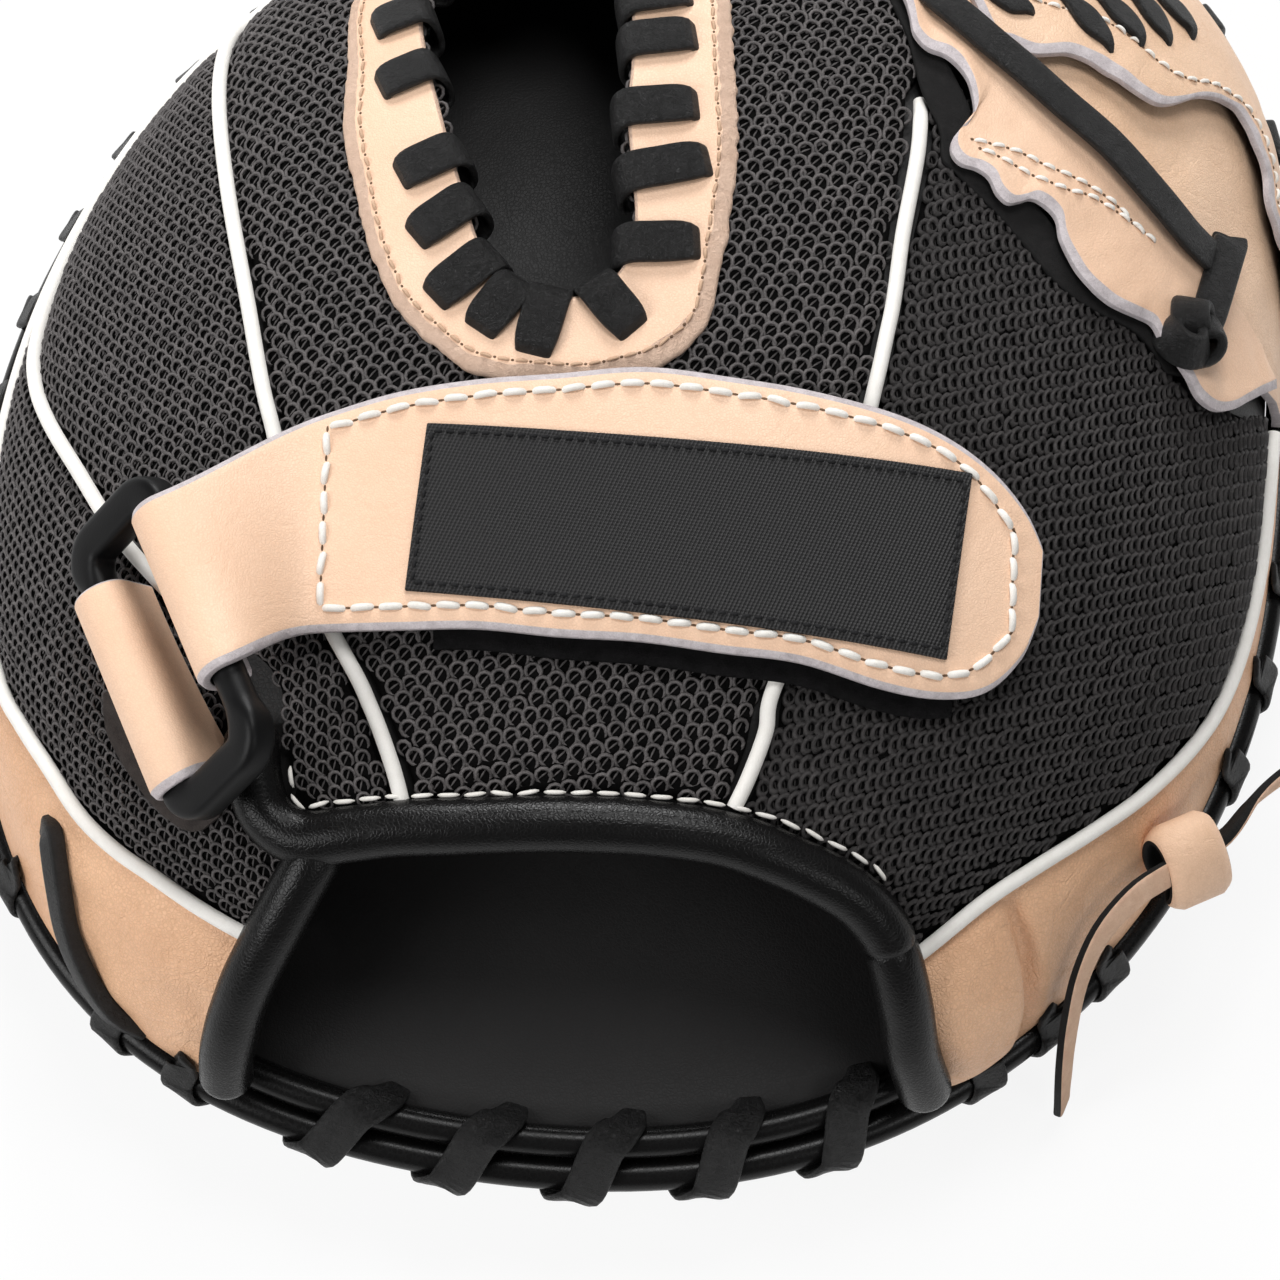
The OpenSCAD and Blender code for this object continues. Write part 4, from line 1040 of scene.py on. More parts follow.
palm_hide = slab("palm_hide_piece", palm_grid(0), palm_grid(PALM_T), (PALM, RAW_GRAY, LINING),
                 closed=True, edge=0.6, capped=True)
wear(palm_hide, "palm_leather", "palm_shell")
print("palm hide faces:", len(palm_hide.data.polygons))

# %% Pad and hand lining
LINING_LOW, LINING_RISE, LINING_T = 35, 7, 1.9
PAD_GAP, PAD_FROM, PAD_UNDER, PAD_DROP = 0.8, 11, 3.0, 5


def lining_z(rho):
    return LINING_LOW + LINING_RISE * smooth((1 - rho) / 0.5)


def lining_at(a, rho):
    """Places on the lining under the hand: rho is 1 at the rim and 0 in the middle."""
    p = (rim_r(a) * rho)[..., None] * out_at(a)
    p[..., 2] = lining_z(rho)
    return p + PLAN


pad_low = palm_grid(PALM_T + PAD_GAP, first=PAD_FROM)
pad_x, pad_y, _ = np.moveaxis(pad_low - PLAN, -1, 0)
pad_rho = np.hypot(pad_x, pad_y) / rim_r(np.degrees(np.arctan2(pad_y, pad_x)))
pad_high = pad_low.copy()
pad_high[..., 2] = lining_z(pad_rho) - PAD_UNDER - PAD_DROP * smooth((pad_rho - 0.88) / 0.06)
# The pad's cut edge and underside are black, painted shade, so that its edge showing at the web cut reads
# as a shadowed gap.
pad = slab("palm_filling", pad_high, pad_low, (FELT, RAW_BLACK, RAW_BLACK),
           closed=True, edge=0.8, capped=True)
wear(pad, "felt", "palm_pad")

lining_rho = np.linspace(0.945, 0.2, 20)
lining_top = lining_at(*np.broadcast_arrays(ROUND[:, None], lining_rho[None, :]))
hand_lining = slab("hand_lining", lining_top, lining_top - [0, 0, LINING_T], (LINING, RAW_BLACK, LINING),
                   closed=True, edge=0.4, capped=True)
wear(hand_lining, "lining", "palm_lining")
print("pad and lining:", [piece.name for piece in (pad, hand_lining)])

# %% [markdown]
# ## Lining of the back
# Under the mesh lies a dark lining, seen only through the finger opening and the wrist. It is cut
# a little wider at the opening, so that its edge hides under the trim.

# %% Back lining
LINING_EDGE = np.concatenate([chart([[a, 4.5] for a in range(-60, 229, 4)]), chart(
    [[-127.5, 4.5], [-127.5, 22], [-127.5, 44.5], [-132.5, 46], [-137, 48.5], [-142, 51.5], [-146, 57.5],
     [-140, 59.5], [-134, 56], [-128, 53.5], [-121.5, 55], [-117.5, 57.5], [-110, 59.5], [-100, 61],
     [-88.5, 61], [-78.5, 59], [-70.5, 54.5], [-64.5, 47.5], [-61.5, 41], [-61, 30], [-61, 14],
     [-61, 4.5]])])
BACK_LOW, BACK_HIGH, HOLE_MARGIN = -5.0, -3.1, 0.012
wider_hole = beside(np.concatenate([HOLE, HOLE[:1]]), HOLE_MARGIN)
lining_rows = around(wider_hole, LINING_EDGE, HOLE_MID, 150, 14)
back_lining = chart_sheet("back_lining_cloth", lining_rows, BACK_LOW, BACK_HIGH,
                          (LINING, RAW_BLACK, LINING), closed=True, edge=0.4)
wear(back_lining, "lining", "back_lining")
print("back lining faces:", len(back_lining.data.polygons))

# %% [markdown]
# ## Open mesh on the back
# The back is a warp-knit mesh over foam: rows of round holes, each with a yarn arching over its
# upper side like a fish scale. A bump map would stay flat, so every hole is a real loop of yarn,
# one small ring put on thousands of points by Geometry Nodes. The points come from a honeycomb
# lattice laid in the panel's own plane and dropped on the panel, with more rows where the panel
# is steep. On the thumb side the yarn runs in ropes, so its loops are fatter, closer and slanted.

# %% Lattice of the knit
HOLE_CELL, FINE_CELL, RIB_CELL = (2.95, 2.35), (2.4, 2.1), (1.75, 3.0)
HOLE_LOOP_SIZE, FINE_LOOP_SIZE, RIB_LOOP_SIZE = (2.95, 2.95, 2.6), (2.4, 2.8, 2.4), (2.9, 1.8, 2.4)
# Rows of the lattice as parts of a step, each with how level the panel may be there, where 1 is level.
KNIT_ROWS = ((0, 1.1), (0.5, 0.55), (0.25, 0.3), (0.75, 0.3))
KNIT_WANDER, KNIT_RISE, TOO_STEEP, FAR_ABOVE = 0.07, 0.2, 0.12, 150
PULL_WIDTH, PANEL_LOW, PULL_DEPTH, PANEL_UNDER = 4.0, 0.5, 1.0, 2.1
LOOPS_PER_PIECE, BLANK_SHARE = 1600, 0.75


def crowned(rows, sewn_inside):
    """Heights of a panel that is pulled down where it is sewn and stands up between."""
    run = np.array([run_along(row) for row in dome_at(rows)])
    low = hump(run[:, -1:] - run, PULL_WIDTH)
    if sewn_inside:
        low = hump(run, PULL_WIDTH) + low
    return -PANEL_LOW - PULL_DEPTH * np.minimum(low, 1)


def knit(top, faces, tilt, cell, lean):
    """Places, facings and directions of yarn loops on a honeycomb lattice over a panel's outer face."""
    spots = top.reshape(-1, 3)
    tree = BVHTree.FromPolygons([Vector(p) for p in spots], faces)
    corners = spots[np.array(faces)]
    normals = np.cross(corners[:, 2] - corners[:, 0], corners[:, 3] - corners[:, 1])
    mean = Vector((normals * np.where(normals[:, 2:] > 0, 1, -1)).sum(0)).normalized()
    across = Vector((math.cos(math.radians(tilt)), math.sin(math.radians(tilt)), 0))
    across = (across - across.dot(mean) * mean).normalized()
    upward = mean.cross(across)
    middle = Vector(spots.mean(0))
    us, vs = (spots - np.array(middle)) @ np.array(across), (spots - np.array(middle)) @ np.array(upward)
    loose = np.random.default_rng(7)
    places, facing, along = [], [], []
    full = range(int(vs.min() / cell[1]) - 1, int(vs.max() / cell[1]) + 2)
    for r, steepest in [(row + part, limit) for row in full for part, limit in KNIT_ROWS]:
        for c in range(int(us.min() / cell[0]) - 2, int(us.max() / cell[0]) + 2):
            wander = loose.normal(0, KNIT_WANDER, 3).tolist()
            column = c + 0.5 * (int(2 * r) // 2 % 2) + wander[0]
            spot = middle + column * cell[0] * across + (r + wander[1]) * cell[1] * upward
            hit, normal = tree.ray_cast(spot + FAR_ABOVE * mean, -mean)[:2]
            if hit is None:
                continue
            normal = normal if normal.dot(mean) > 0 else -normal
            if TOO_STEEP < normal.dot(mean) < steepest:
                twisted = math.cos(lean) * across + (math.sin(lean) + 2 * wander[2]) * upward
                places.append(hit + KNIT_RISE * normal)
                facing.append(normal)
                along.append(twisted - twisted.dot(normal) * normal)
    return np.array(places), np.array(facing), unit(np.array(along))


# %% One panel with its knit
def mesh_panel(name, rows, tilt, cell, loop, closed=False, piece=LOOP, yarn=KNIT, lean=0.0):
    """A dark cloth, pulled down at its sewn edges, and the knit on it; a closed one is loose inside."""
    top = lift(rows, crowned(rows, sewn_inside=not closed))
    under = lift(rows, -PANEL_UNDER)
    base = slab(name + "_cloth", top, under, (MESH_FLOOR, MESH_FLOOR, LINING), closed, edge=0)
    wear(base, "mesh", name)
    faces = grid_quads(*rows.shape[:2], closed)
    places, facing, along = knit(top, faces, tilt, cell, math.radians(lean))
    for k in range(0, len(places), LOOPS_PER_PIECE):
        part = slice(k, k + LOOPS_PER_PIECE)
        label = f"{name}_knit_{k // LOOPS_PER_PIECE}"
        wear(sew(label, places[part], facing[part], along[part], piece, *loop, yarn), "mesh")


# %% Four panels
left = beside(spline(chart(FINGER_LINE), 60), -SEAM_GAP)
right = beside(spline(chart(THUMB_LINE), 48), SEAM_GAP)
web_side, top_side = spline(chart(CENTER_WEB), 12), spline(chart(CENTER_TOP), 8)
center_edge = np.concatenate([spline(chart(CENTER_WRIST), 12), right, web_side, top_side, left[::-1]])
center_rows = around(HOLE, center_edge, HOLE_MID, 220, 30)
mesh_panel("center_panel", center_rows, 9, HOLE_CELL, HOLE_LOOP_SIZE, closed=True)

outer = np.concatenate([chart(SLIT_FINGER), beside(chart(PINKY_LINE), -SEAM_GAP)])
finger_rows = between(spline(outer, 100), beside(spline(chart(FINGER_LINE), 100), SEAM_GAP), 24)
mesh_panel("finger_panel", finger_rows, 12, FINE_CELL, FINE_LOOP_SIZE)

inner = np.concatenate([chart([[-125.5, 46]] + SLIT_PINKY), beside(chart(PINKY_LINE), SEAM_GAP)])
low = beside(spline(chart([FINGER_START] + FINGER_SEAM[:12]), 100), -SEAM_GAP)
mesh_panel("pinky_panel", between(spline(inner, 100), low, 18), 14, FINE_CELL, FINE_LOOP_SIZE)

thumb_edge = beside(chart(THUMB_LINE), -SEAM_GAP)
thumb_low = beside(chart([THUMB_START] + THUMB_SEAM), 1.15 * SEAM_GAP)


def stretch(line, first, last, n):
    """Rows from an upper line down to a stretch of the thumb's lower seam."""
    return between(spline(line, n), spline(thumb_low[first:last + 1], n), 26)


thumb_rows = np.concatenate([
    stretch(np.concatenate([chart([[-63.2, 38]] + THUMB_CORNER), thumb_edge[:1]]), 0, 4, 30)[:-1],
    stretch(thumb_edge, 4, 5, 45)[:-1],
    stretch(np.concatenate([thumb_edge[-1:], chart(THUMB_FLAP)]), 5, len(thumb_low) - 1, 45)])
mesh_panel("thumb_panel", thumb_rows, 12, RIB_CELL, RIB_LOOP_SIZE, piece=ROPE_LOOP, yarn=ROPE, lean=52)

# %% [markdown]
# ## Gussets and piping
# Between the mesh and the rim runs a strip of tan hide that lets the glove open, creased where it
# bends. White cord closes every seam. The cord is a tube along the seam line: Geometry Nodes turn
# a polyline into a curve and sweep a circle on it, so one tree serves the piping and the welts.


# %% Gussets
GUSSET_LOW, GUSSET_RIM, GUSSET_PULL = -2.2, 0.968, 0.9
BULGE, BULGE_WIDE, CREASE, CREASE_WIDE, CREASE_SLANT, CREASE_END = 5.0, 0.075, 4.6, 0.014, 0.065, -1.6


def pucker(p):
    return noise.noise(Vector(p) * 0.055) + 0.5 * noise.noise(Vector(p) * 0.14)


def gusset(name, seam_line, n, toward_rim, node_name, fold=0.0):
    """A strip from a seam to the rim; fold is how far along it bulges and creases."""
    seam_q = spline(chart(seam_line), n)
    rows = between(beside(seam_q, toward_rim), GUSSET_RIM * unit(seam_q), 14)
    puckers = np.array([[pucker(p) for p in row] for row in dome_at(rows)])
    across = np.linspace(0, 1, rows.shape[1])
    along = np.linspace(0, 1, len(rows))[:, None]
    slack = 1 + 1.2 * hump(along, 0.2)
    heights = 0.2 + 0.9 * slack * puckers * np.sin(np.pi * across) - GUSSET_PULL * hump(across, 0.12)
    if fold:
        bulge = BULGE * hump(along - 0.55 * fold, BULGE_WIDE)
        crease = CREASE * hump(along - fold + CREASE_SLANT * across, CREASE_WIDE)
        heights = np.maximum(heights + (bulge - crease) * np.sin(np.pi * across) ** 0.7, CREASE_END)
    piece = slab(name, lift(rows, heights), lift(rows, GUSSET_LOW), (GUSSET, RAW_GRAY, LINING), edge=0.3)
    wear(piece, "gusset_leather", node_name)
    print(name, "rises to", round(float(heights.max()), 1), "mm")


gusset("finger_gusset_hide", [FINGER_START] + FINGER_SEAM, 140, SEAM_GAP, "finger_gusset")
gusset("thumb_gusset_hide", [THUMB_START] + THUMB_SEAM, 220, -SEAM_GAP, "thumb_gusset", fold=0.245)


# %% Geometry Nodes: a round cord on a line
def round_cord_tree():
    tree, given, made = geometry_tree("round_cord", "Cord", Line="Geometry", Radius="Float", Sides="Int",
                                      Finish="Material")
    add, link = tree.nodes.new, tree.links.new
    line, circle = add("GeometryNodeMeshToCurve"), add("GeometryNodeCurvePrimitiveCircle")
    tube, soft = add("GeometryNodeCurveToMesh"), add("GeometryNodeSetShadeSmooth")
    link(given.outputs["Line"], line.inputs["Mesh"])
    link(given.outputs["Sides"], circle.inputs["Resolution"])
    link(given.outputs["Radius"], circle.inputs["Radius"])
    link(line.outputs["Curve"], tube.inputs["Curve"])
    link(circle.outputs["Curve"], tube.inputs["Profile Curve"])
    tube.inputs["Fill Caps"].default_value = True
    link(tube.outputs["Mesh"], soft.inputs["Geometry"])
    finish_tree(tree, soft.outputs["Geometry"], given, made, "Cord")
    return tree


ROUND_CORD = round_cord_tree()


def round_cord(name, path, radius, sides, finish, slot, *nodes, closed=False):
    """A tube along places in mm, which may run back to its start."""
    mesh = bpy.data.meshes.new(name)
    count = len(path)
    edges = [(k, (k + 1) % count) for k in range(count if closed else count - 1)]
    mesh.from_pydata((np.asarray(path) * MM).tolist(), edges, [])
    values = {"Radius": radius * MM, "Sides": sides, "Finish": finish}
    wear(grow(new_object(name, mesh), ROUND_CORD, values), slot, *nodes)


# %% Piping on the seams
PIPING_R, PIPING_SIDES, PIPING_SINK = 1.45, 14, 0.1
TUCKED_END, TUCK_STEPS = 3.0, 6
PIPED = {"finger_piping": FINGER_LINE + [[-233.5, 11.5]],
         "thumb_piping": THUMB_LINE[:-1] + [[48.8, 63.6]],
         "pinky_piping": PINKY_LINE + [[-221, 13], [-228, 11.8]],
         "finger_gusset_piping": [FINGER_START] + FINGER_SEAM,
         "thumb_gusset_piping": [THUMB_START] + THUMB_SEAM}
for label, line in PIPED.items():
    path = even(lift(spline(chart(line), 240), -PIPING_SINK), 160)
    if label == "thumb_piping":
        path[:, 2] -= TUCKED_END * hump(np.arange(len(path))[::-1], TUCK_STEPS)
    round_cord(label + "_cord", path, PIPING_R, PIPING_SIDES, PIPING, "piping", label)
print("piping cords:", len(PIPED))

# %% [markdown]
# ## Padded rolls at the wrist
# The wrist opening is bound with hide rolled over a soft core, and the same rolls run down both
# sides to the heel. A roll is a fat cord whose skin puckers a little, so its radius breathes.

# %% Wrist rolls
ROLL_R, ROLL_SIDES, ROLL_UP, ROLL_PUCKER = 5.2, 28, 1.5, 0.03
END_STEPS = 4.0


def roll(name, line, n, node_name, sunk=0.0):
    """A padded roll with rounded ends, whose first end is sunk under the roll that crosses it."""
    q = spline(chart(line), n)
    heights = ROLL_UP - sunk * hump(np.arange(n + 1), 0.14 * n)
    path, ups = even(lift(q, heights), n), dome_normal(q)
    radius = np.array([ROLL_R * (1 + ROLL_PUCKER * noise.noise(Vector(p) * 0.12)) for p in path])
    ends = np.minimum(np.minimum(np.arange(n + 1), np.arange(n, -1, -1)), END_STEPS)
    radius *= np.sqrt(1 - (1 - ends / END_STEPS) ** 2 * 0.75)
    verts, faces = sweep(path, ups, radius[:, None, None] * round_section(1, ROLL_SIDES))
    obj = wear(add_mesh(name, verts, faces, [ROLL]), "roll_leather", node_name)
    print(name, "is", round(float(run_along(path)[-1])), "mm long")


roll("wrist_roll", WRIST_LINE + [[-64.2, 36.5]], 160, "wrist_binding")
roll("finger_side_roll", [[-124.8, 50]] + FINGER_SIDE, 80, "finger_side_binding", sunk=2.0)
roll("thumb_side_roll", [[-64, 38.5]] + THUMB_SIDE, 64, "thumb_side_binding", sunk=1.0)

ROLL_SEAM, ROLL_SEAM_UP = 0.0335, 0.7
roll_q = beside(spline(chart(WRIST_LINE), 150), ROLL_SEAM)[8:142]
seam("wrist_roll_stitches", [on_back(roll_q, ROLL_SEAM_UP)], 4.8, THREAD, "piping",
     length=0.84, width=0.9, holes=None)

# %% [markdown]
# ## Finger opening
# A tan trim leather frames the opening. Its cut edge shows pink, a row of brown stitches follows
# it, and a flat black lace whips over the inner edge. A wrap is a flat section on a short path.

# %% Trim of the opening
TRIM_TOP, TRIM_UNDER, TRIM_MARGIN, TRIM_FRAY = 2.0, -0.2, 3.0, 0.002
RING_STEPS, CROSS_STEPS, STITCH_IN = 240, 100, 3.9
trim_ends = around(HOLE, TRIM, HOLE_MID, 360, 1)
fray = np.array([noise.noise(Vector((*p, 0.0)) * 90) for p in trim_ends[:, 1]])
trim_ends[:, 1] += TRIM_FRAY * fray[:, None] * unit(trim_ends[:, 1] - HOLE_MID)
trim_rows = with_margin(trim_ends[:, 0], trim_ends[:, 1], 9, TRIM_MARGIN)
trim = slab("opening_trim", lift(trim_rows, TRIM_TOP), lift(trim_rows, TRIM_UNDER), (TAN, RAW_PINK, SUEDE),
            closed=True, edge=0.6, bare_rim="last")
wear(trim, "tan_leather", "finger_opening_trim")

stitch_q = []
for row in around(HOLE, TRIM, HOLE_MID, RING_STEPS, CROSS_STEPS):
    from_edge = np.cumsum(np.linalg.norm(np.diff(dome_at(row), axis=0), axis=1)[::-1])
    stitch_q.append(row[CROSS_STEPS - int(np.searchsorted(from_edge, STITCH_IN))])
stitch_q = np.array(stitch_q + stitch_q[:1])
seam("trim_stitches", [on_back(stitch_q, TRIM_TOP)], 3.4, BROWN_THREAD, "tan_leather", width=0.7)

# %% Whip lacing
LACE_W, LACE_T, WHIP_W = 7.0, 1.5, 8.3
WHIP_ANGLES = [18.5, 45.5, 62, 78, 96, 113, 128, 151.5, 232, 255, 266.5, 274, 281, 288.5, 296, 307, 329]
WHIP_HIGH, WHIP_LOW, WHIP_REACH, SHORT_REACH, WHIP_SLANT = TRIM_TOP + 1.1, -6.2, 0.046, 0.034, 0.12
pull = np.random.default_rng(5)


def smooth_lace(points, ups, n=28):
    """A path of n even steps, and the way that the lace's flat side faces at each step."""
    fine, facing = spline(points, 4 * n), spline(ups, 4 * n)
    run = run_along(fine)
    at = np.linspace(0, run[-1], n + 1)
    return rows_at(at, run, fine), unit(rows_at(at, run, facing))


def lace_piece(name, parts, *nodes, w=LACE_W, t=LACE_T, ends=1.0, taper=0.09):
    """Flat black laces as one piece of the mitt."""
    wear(strip(name, parts, w, t, ends=ends, taper=taper), "lace", *nodes)


def whip(th):
    """One lace at the opening: out of a hole in the trim, over the inner edge and under the lining."""
    p = ray(HOLE, HOLE_MID, th)
    side = ray(HOLE, HOLE_MID, th + 2) - ray(HOLE, HOLE_MID, th - 2)
    away = unit(np.array([side[1], -side[0]]))
    high, low = WHIP_HIGH, WHIP_LOW
    reach = SHORT_REACH if 270 < th < 300 else WHIP_REACH
    up = dome_normal(p)
    slant = pull.uniform(-WHIP_SLANT, WHIP_SLANT) * np.array([-away[1], away[0]])

    def at(d, h):
        return lift(p + d * (away + (slant if d > 0 else 0)), h)

    inward = unit(at(-0.02, 0) - at(0.02, 0))
    path = [at(reach, high - 2.2), at(reach * 0.86, high), at(reach * 0.4, high + 0.3),
            at(-0.002, high - 0.2), at(-0.009, (high + low) / 2), at(-0.003, low), at(0.03, low)]
    ups = [up, up, up, unit(up + inward), inward, unit(inward - up), -up]
    return (*smooth_lace(path, ups), False)


whips = [whip(th) for th in WHIP_ANGLES]
lace_piece("opening_whip_lace", whips, "finger_opening_lacing", w=WHIP_W, ends=0.8)
print("laces at the finger opening:", len(whips))

# %% [markdown]
# ## Wrist strap
# The strap lies over the crown, turns round the far bar of the ring and tucks its end underneath.
# The loop tape stays on the mitt, and the hook tape swings with the strap. The strap is one grid:
# rows across it run along the dome, bridge the air to the ring and then go round the bar.

# %% Ring frame
BAR_R, RING_SPAN, RING_LENGTH, STRAP_T = 3.2, 22.0, 62.0, 2.1
ring_axis = unit([17.4, -41.7, 6.5])
ring_seat = lift(chart([-149.3, 49.1]), BAR_R + 6.0)
ring_lean = np.array([11.6, 7.05, 14.2])
ring_side = unit(ring_lean - (ring_lean @ ring_axis) * ring_axis)
ring_normal = np.cross(ring_axis, ring_side)
far_bar = ring_seat + RING_SPAN * ring_side
print("far bar in mm:", np.round(far_bar, 1))

# %% Strap
STRAP_TOP = [[-20.5, 57], [-16.5, 60], [-12.5, 64], [-9, 68.5], [-6, 73.5], [-2.5, 80], [2, 85],
             [42, 89.5], [173.5, 87], [179, 82], [182, 76.5], [185, 71]]
STRAP_BOTTOM = [[-29, 54.5], [-34.5, 54], [-40.5, 55], [-45.5, 58], [-51, 62.5], [-59.5, 68.5],
                [-72, 72], [-87.5, 74], [-105, 74], [-120.5, 73], [-132, 70], [-140.5, 65.5]]
STRAP_H, FOLD_W, FOLD_SHIFT = 4.9, 37.0, 5.0
FOLD_R = BAR_R + 0.5 + STRAP_T / 2
FOLD_START, FOLD_TURN = math.radians(45), math.radians(225)
ACROSS, CUT_EDGE = np.linspace(0, 1, 57), 1.3
STRAP_ROWS, BRIDGE_ROWS, FOLD_ROWS, STRAP_COLUMNS = 89, 12, 30, 27
BAR_ROW = far_bar - (FOLD_SHIFT + FOLD_W * (0.5 - ACROSS))[:, None] * ring_axis


def chart_of(p):
    """The map point under a place, given from the centre of the plan."""
    a = np.arctan2(p[..., 1], p[..., 0])
    rho = np.minimum(1.0, np.hypot(p[..., 0], p[..., 1]) / rim_r(np.degrees(a)))
    share = 1 - np.degrees(np.arccos(rho ** (DOME_POWER / 2))) / 90
    return share[..., None] * np.stack([np.cos(a), np.sin(a)], -1)


def strap_q(s, t):
    """Map points under the strap: s counts the points of its edges, t is the share of its width."""
    s, t = np.broadcast_arrays(np.asarray(s, float), np.asarray(t, float))
    top, low = (spline_at((dome_at(chart(line)) - PLAN)[:, :2], s) for line in (STRAP_TOP, STRAP_BOTTOM))
    return chart_of(top + (low - top) * t[..., None])


def from_bar(phi):
    return math.cos(phi) * ring_side + math.sin(phi) * ring_normal


def by_length(row):
    """A row again with even steps, and a narrow one at each end for the cut edge."""
    run = run_along(row)
    at = np.concatenate([[0], np.linspace(CUT_EDGE, run[-1] - CUT_EDGE, STRAP_COLUMNS), [run[-1]]])
    return rows_at(at, run, row)


def strap_grid(h, r):
    """Rows of the strap at a height over the dome, and at a radius round the ring's far bar."""
    end = len(STRAP_TOP) - 1
    rows = [lift(strap_q(s, ACROSS), h) for s in np.linspace(0, end, STRAP_ROWS)]
    first = BAR_ROW + r * from_bar(FOLD_START)
    last, before = rows[-1], lift(strap_q(end - 0.4, ACROSS), h)
    reach = np.linalg.norm(first - last, axis=1, keepdims=True)
    go = unit(last - before)
    land = unit(np.cross(ring_axis, from_bar(FOLD_START)))
    for f in np.linspace(0, 1, BRIDGE_ROWS)[1:-1]:
        rows.append((1 - f) ** 3 * last + 3 * (1 - f) ** 2 * f * (last + go * reach / 3)
                    + 3 * (1 - f) * f * f * (first - land * reach / 3) + f**3 * first)
    rows += [BAR_ROW + r * from_bar(FOLD_START + FOLD_TURN * f) for f in np.linspace(0, 1, FOLD_ROWS)]
    return np.array([by_length(row) for row in rows])


strap_face = strap_grid(STRAP_H + STRAP_T, FOLD_R + STRAP_T / 2)
strap_under = strap_grid(STRAP_H, FOLD_R - STRAP_T / 2)
strap = slab("strap_leather", strap_face, strap_under, (TAN, RAW_GRAY, SUEDE),
             edge=0.6, bare_rim="first last start")
wear(strap, "tan_leather", "strap", body="strap")
print("strap is", round(float(run_along(strap_face[:, STRAP_COLUMNS // 2])[-1])), "mm long")

# %% Strap stitching
strap_out = unit(np.cross(np.gradient(strap_face, axis=0), np.gradient(strap_face, axis=1)))
strap_out *= np.sign(strap_out[20, 14, 2])


def on_strap(row, t):
    """Places and normals on the strap's face at grid rows and shares of its width."""
    row, t = np.broadcast_arrays(np.asarray(row, float), np.asarray(t, float))
    col = 1 + t * (strap_face.shape[1] - 3)
    i = np.minimum(row.astype(int), strap_face.shape[0] - 2)
    j = np.minimum(col.astype(int), strap_face.shape[1] - 2)
    f, g = (row - i)[:, None], (col - j)[:, None]

    def inside(grid):
        here, there = ((1 - g) * grid[k, j] + g * grid[k, j + 1] for k in (i, i + 1))
        return (1 - f) * here + f * there

    return inside(strap_face), inside(strap_out)


HIGH_IN, LOW_IN, FIRST_ROW, BACK_ROW = 2.3, 3.0, 11.3, 88.0
CORNER_IN, CORNER_ROWS = 4.0, 7
seam_rows = np.linspace(FIRST_ROW, BACK_ROW, 240)
strap_width = np.linalg.norm(strap_face[:, -1] - strap_face[:, 0], axis=1)
wide = np.interp(seam_rows, np.arange(len(strap_width)), strap_width)
rounding = CORNER_IN * hump(seam_rows - FIRST_ROW, CORNER_ROWS)
high, low = (HIGH_IN + rounding) / wide, 1 - (LOW_IN + rounding) / wide
seam("strap_stitches", [on_strap(seam_rows, high), on_strap(seam_rows, low),
                        on_strap(np.full(20, FIRST_ROW), np.linspace(high[0], low[0], 20)),
                        on_strap(np.full(40, BACK_ROW), np.linspace(high[-1], low[-1], 40))],
     5.3, THREAD, "piping", body="strap", length=0.98, width=1.45, holes=(1.5, 0.6))

# %% Hook and loop tape
TAPE_T = 1.0


def tape(name, along, across, low, node_name, body):
    """A patch of pile under the strap, from one place to another along it and across it."""
    s, t = np.meshgrid(np.linspace(*along, 70), np.linspace(*across, 20), indexing="ij")
    pile = chart_sheet(name, strap_q(s, t), low, low + TAPE_T, (PILE, PILE, PILE), edge=0.35)
    wear(pile, "tape", node_name, body=body)
    print(name, "lies", low, "mm over the dome")


tape("loop_tape_pile", (2.6, 9.6), (0.16, 1.07), low=1.7, node_name="loop_tape", body="mitt")
tape("hook_tape_pile", (2.2, 8.6), (0.1, 0.9), low=3.3, node_name="hook_tape", body="strap")

# %% [markdown]
# ## Label and ring
# The label is a woven black patch with a sewn border, left bare. Its UV map is in millimetres and
# slants with the label, so the weave keeps its size on the curved strap. The ring is moulded in one
# piece: two round bars and two flat cheeks, so one section that changes its shape goes round a
# rectangle with round corners. The tab that holds it ends in a suede patch on the mesh.

# %% Woven label
LABEL_TOP, LABEL_SLANT = 8.1, 0.35
BORDER_U, BORDER_V = 0.012, 0.05
LABEL_CORNERS = dome_at(chart([[-14.4, 66.0], [-41.5, 60.2], [-167.2, 78.8], [-135.6, 72.5]])) - PLAN


def label_q(u, v):
    """Map points under the label, from shares of its length and of its width."""
    u, v = np.broadcast_arrays(np.asarray(u, float)[..., None], np.asarray(v, float)[..., None])
    a, b, c, d = LABEL_CORNERS
    return chart_of((1 - u) * ((1 - v) * a + v * b) + u * ((1 - v) * c + v * d))


label_rows = label_q(*np.meshgrid(np.linspace(0, 1, 90), np.linspace(0, 1, 36), indexing="ij"))
label_top, label_under = lift(label_rows, LABEL_TOP), lift(label_rows, STRAP_H + STRAP_T)
label = slab("woven_label", label_top, label_under, (LABEL, LABEL, LABEL), edge=0.3)
weave = label.data.uv_layers.new(name="weave")
run_x, run_y = unit(label_top[-1, 18] - label_top[0, 18]), unit(label_top[45, -1] - label_top[45, 0])
for loop in label.data.loops:
    spot = np.array(label.data.vertices[loop.vertex_index].co) / MM
    weave.data[loop.index].uv = (float(spot @ run_x - LABEL_SLANT * spot @ run_y), float(spot @ run_y))
wear(label, "label_weave", "strap_label", body="strap")

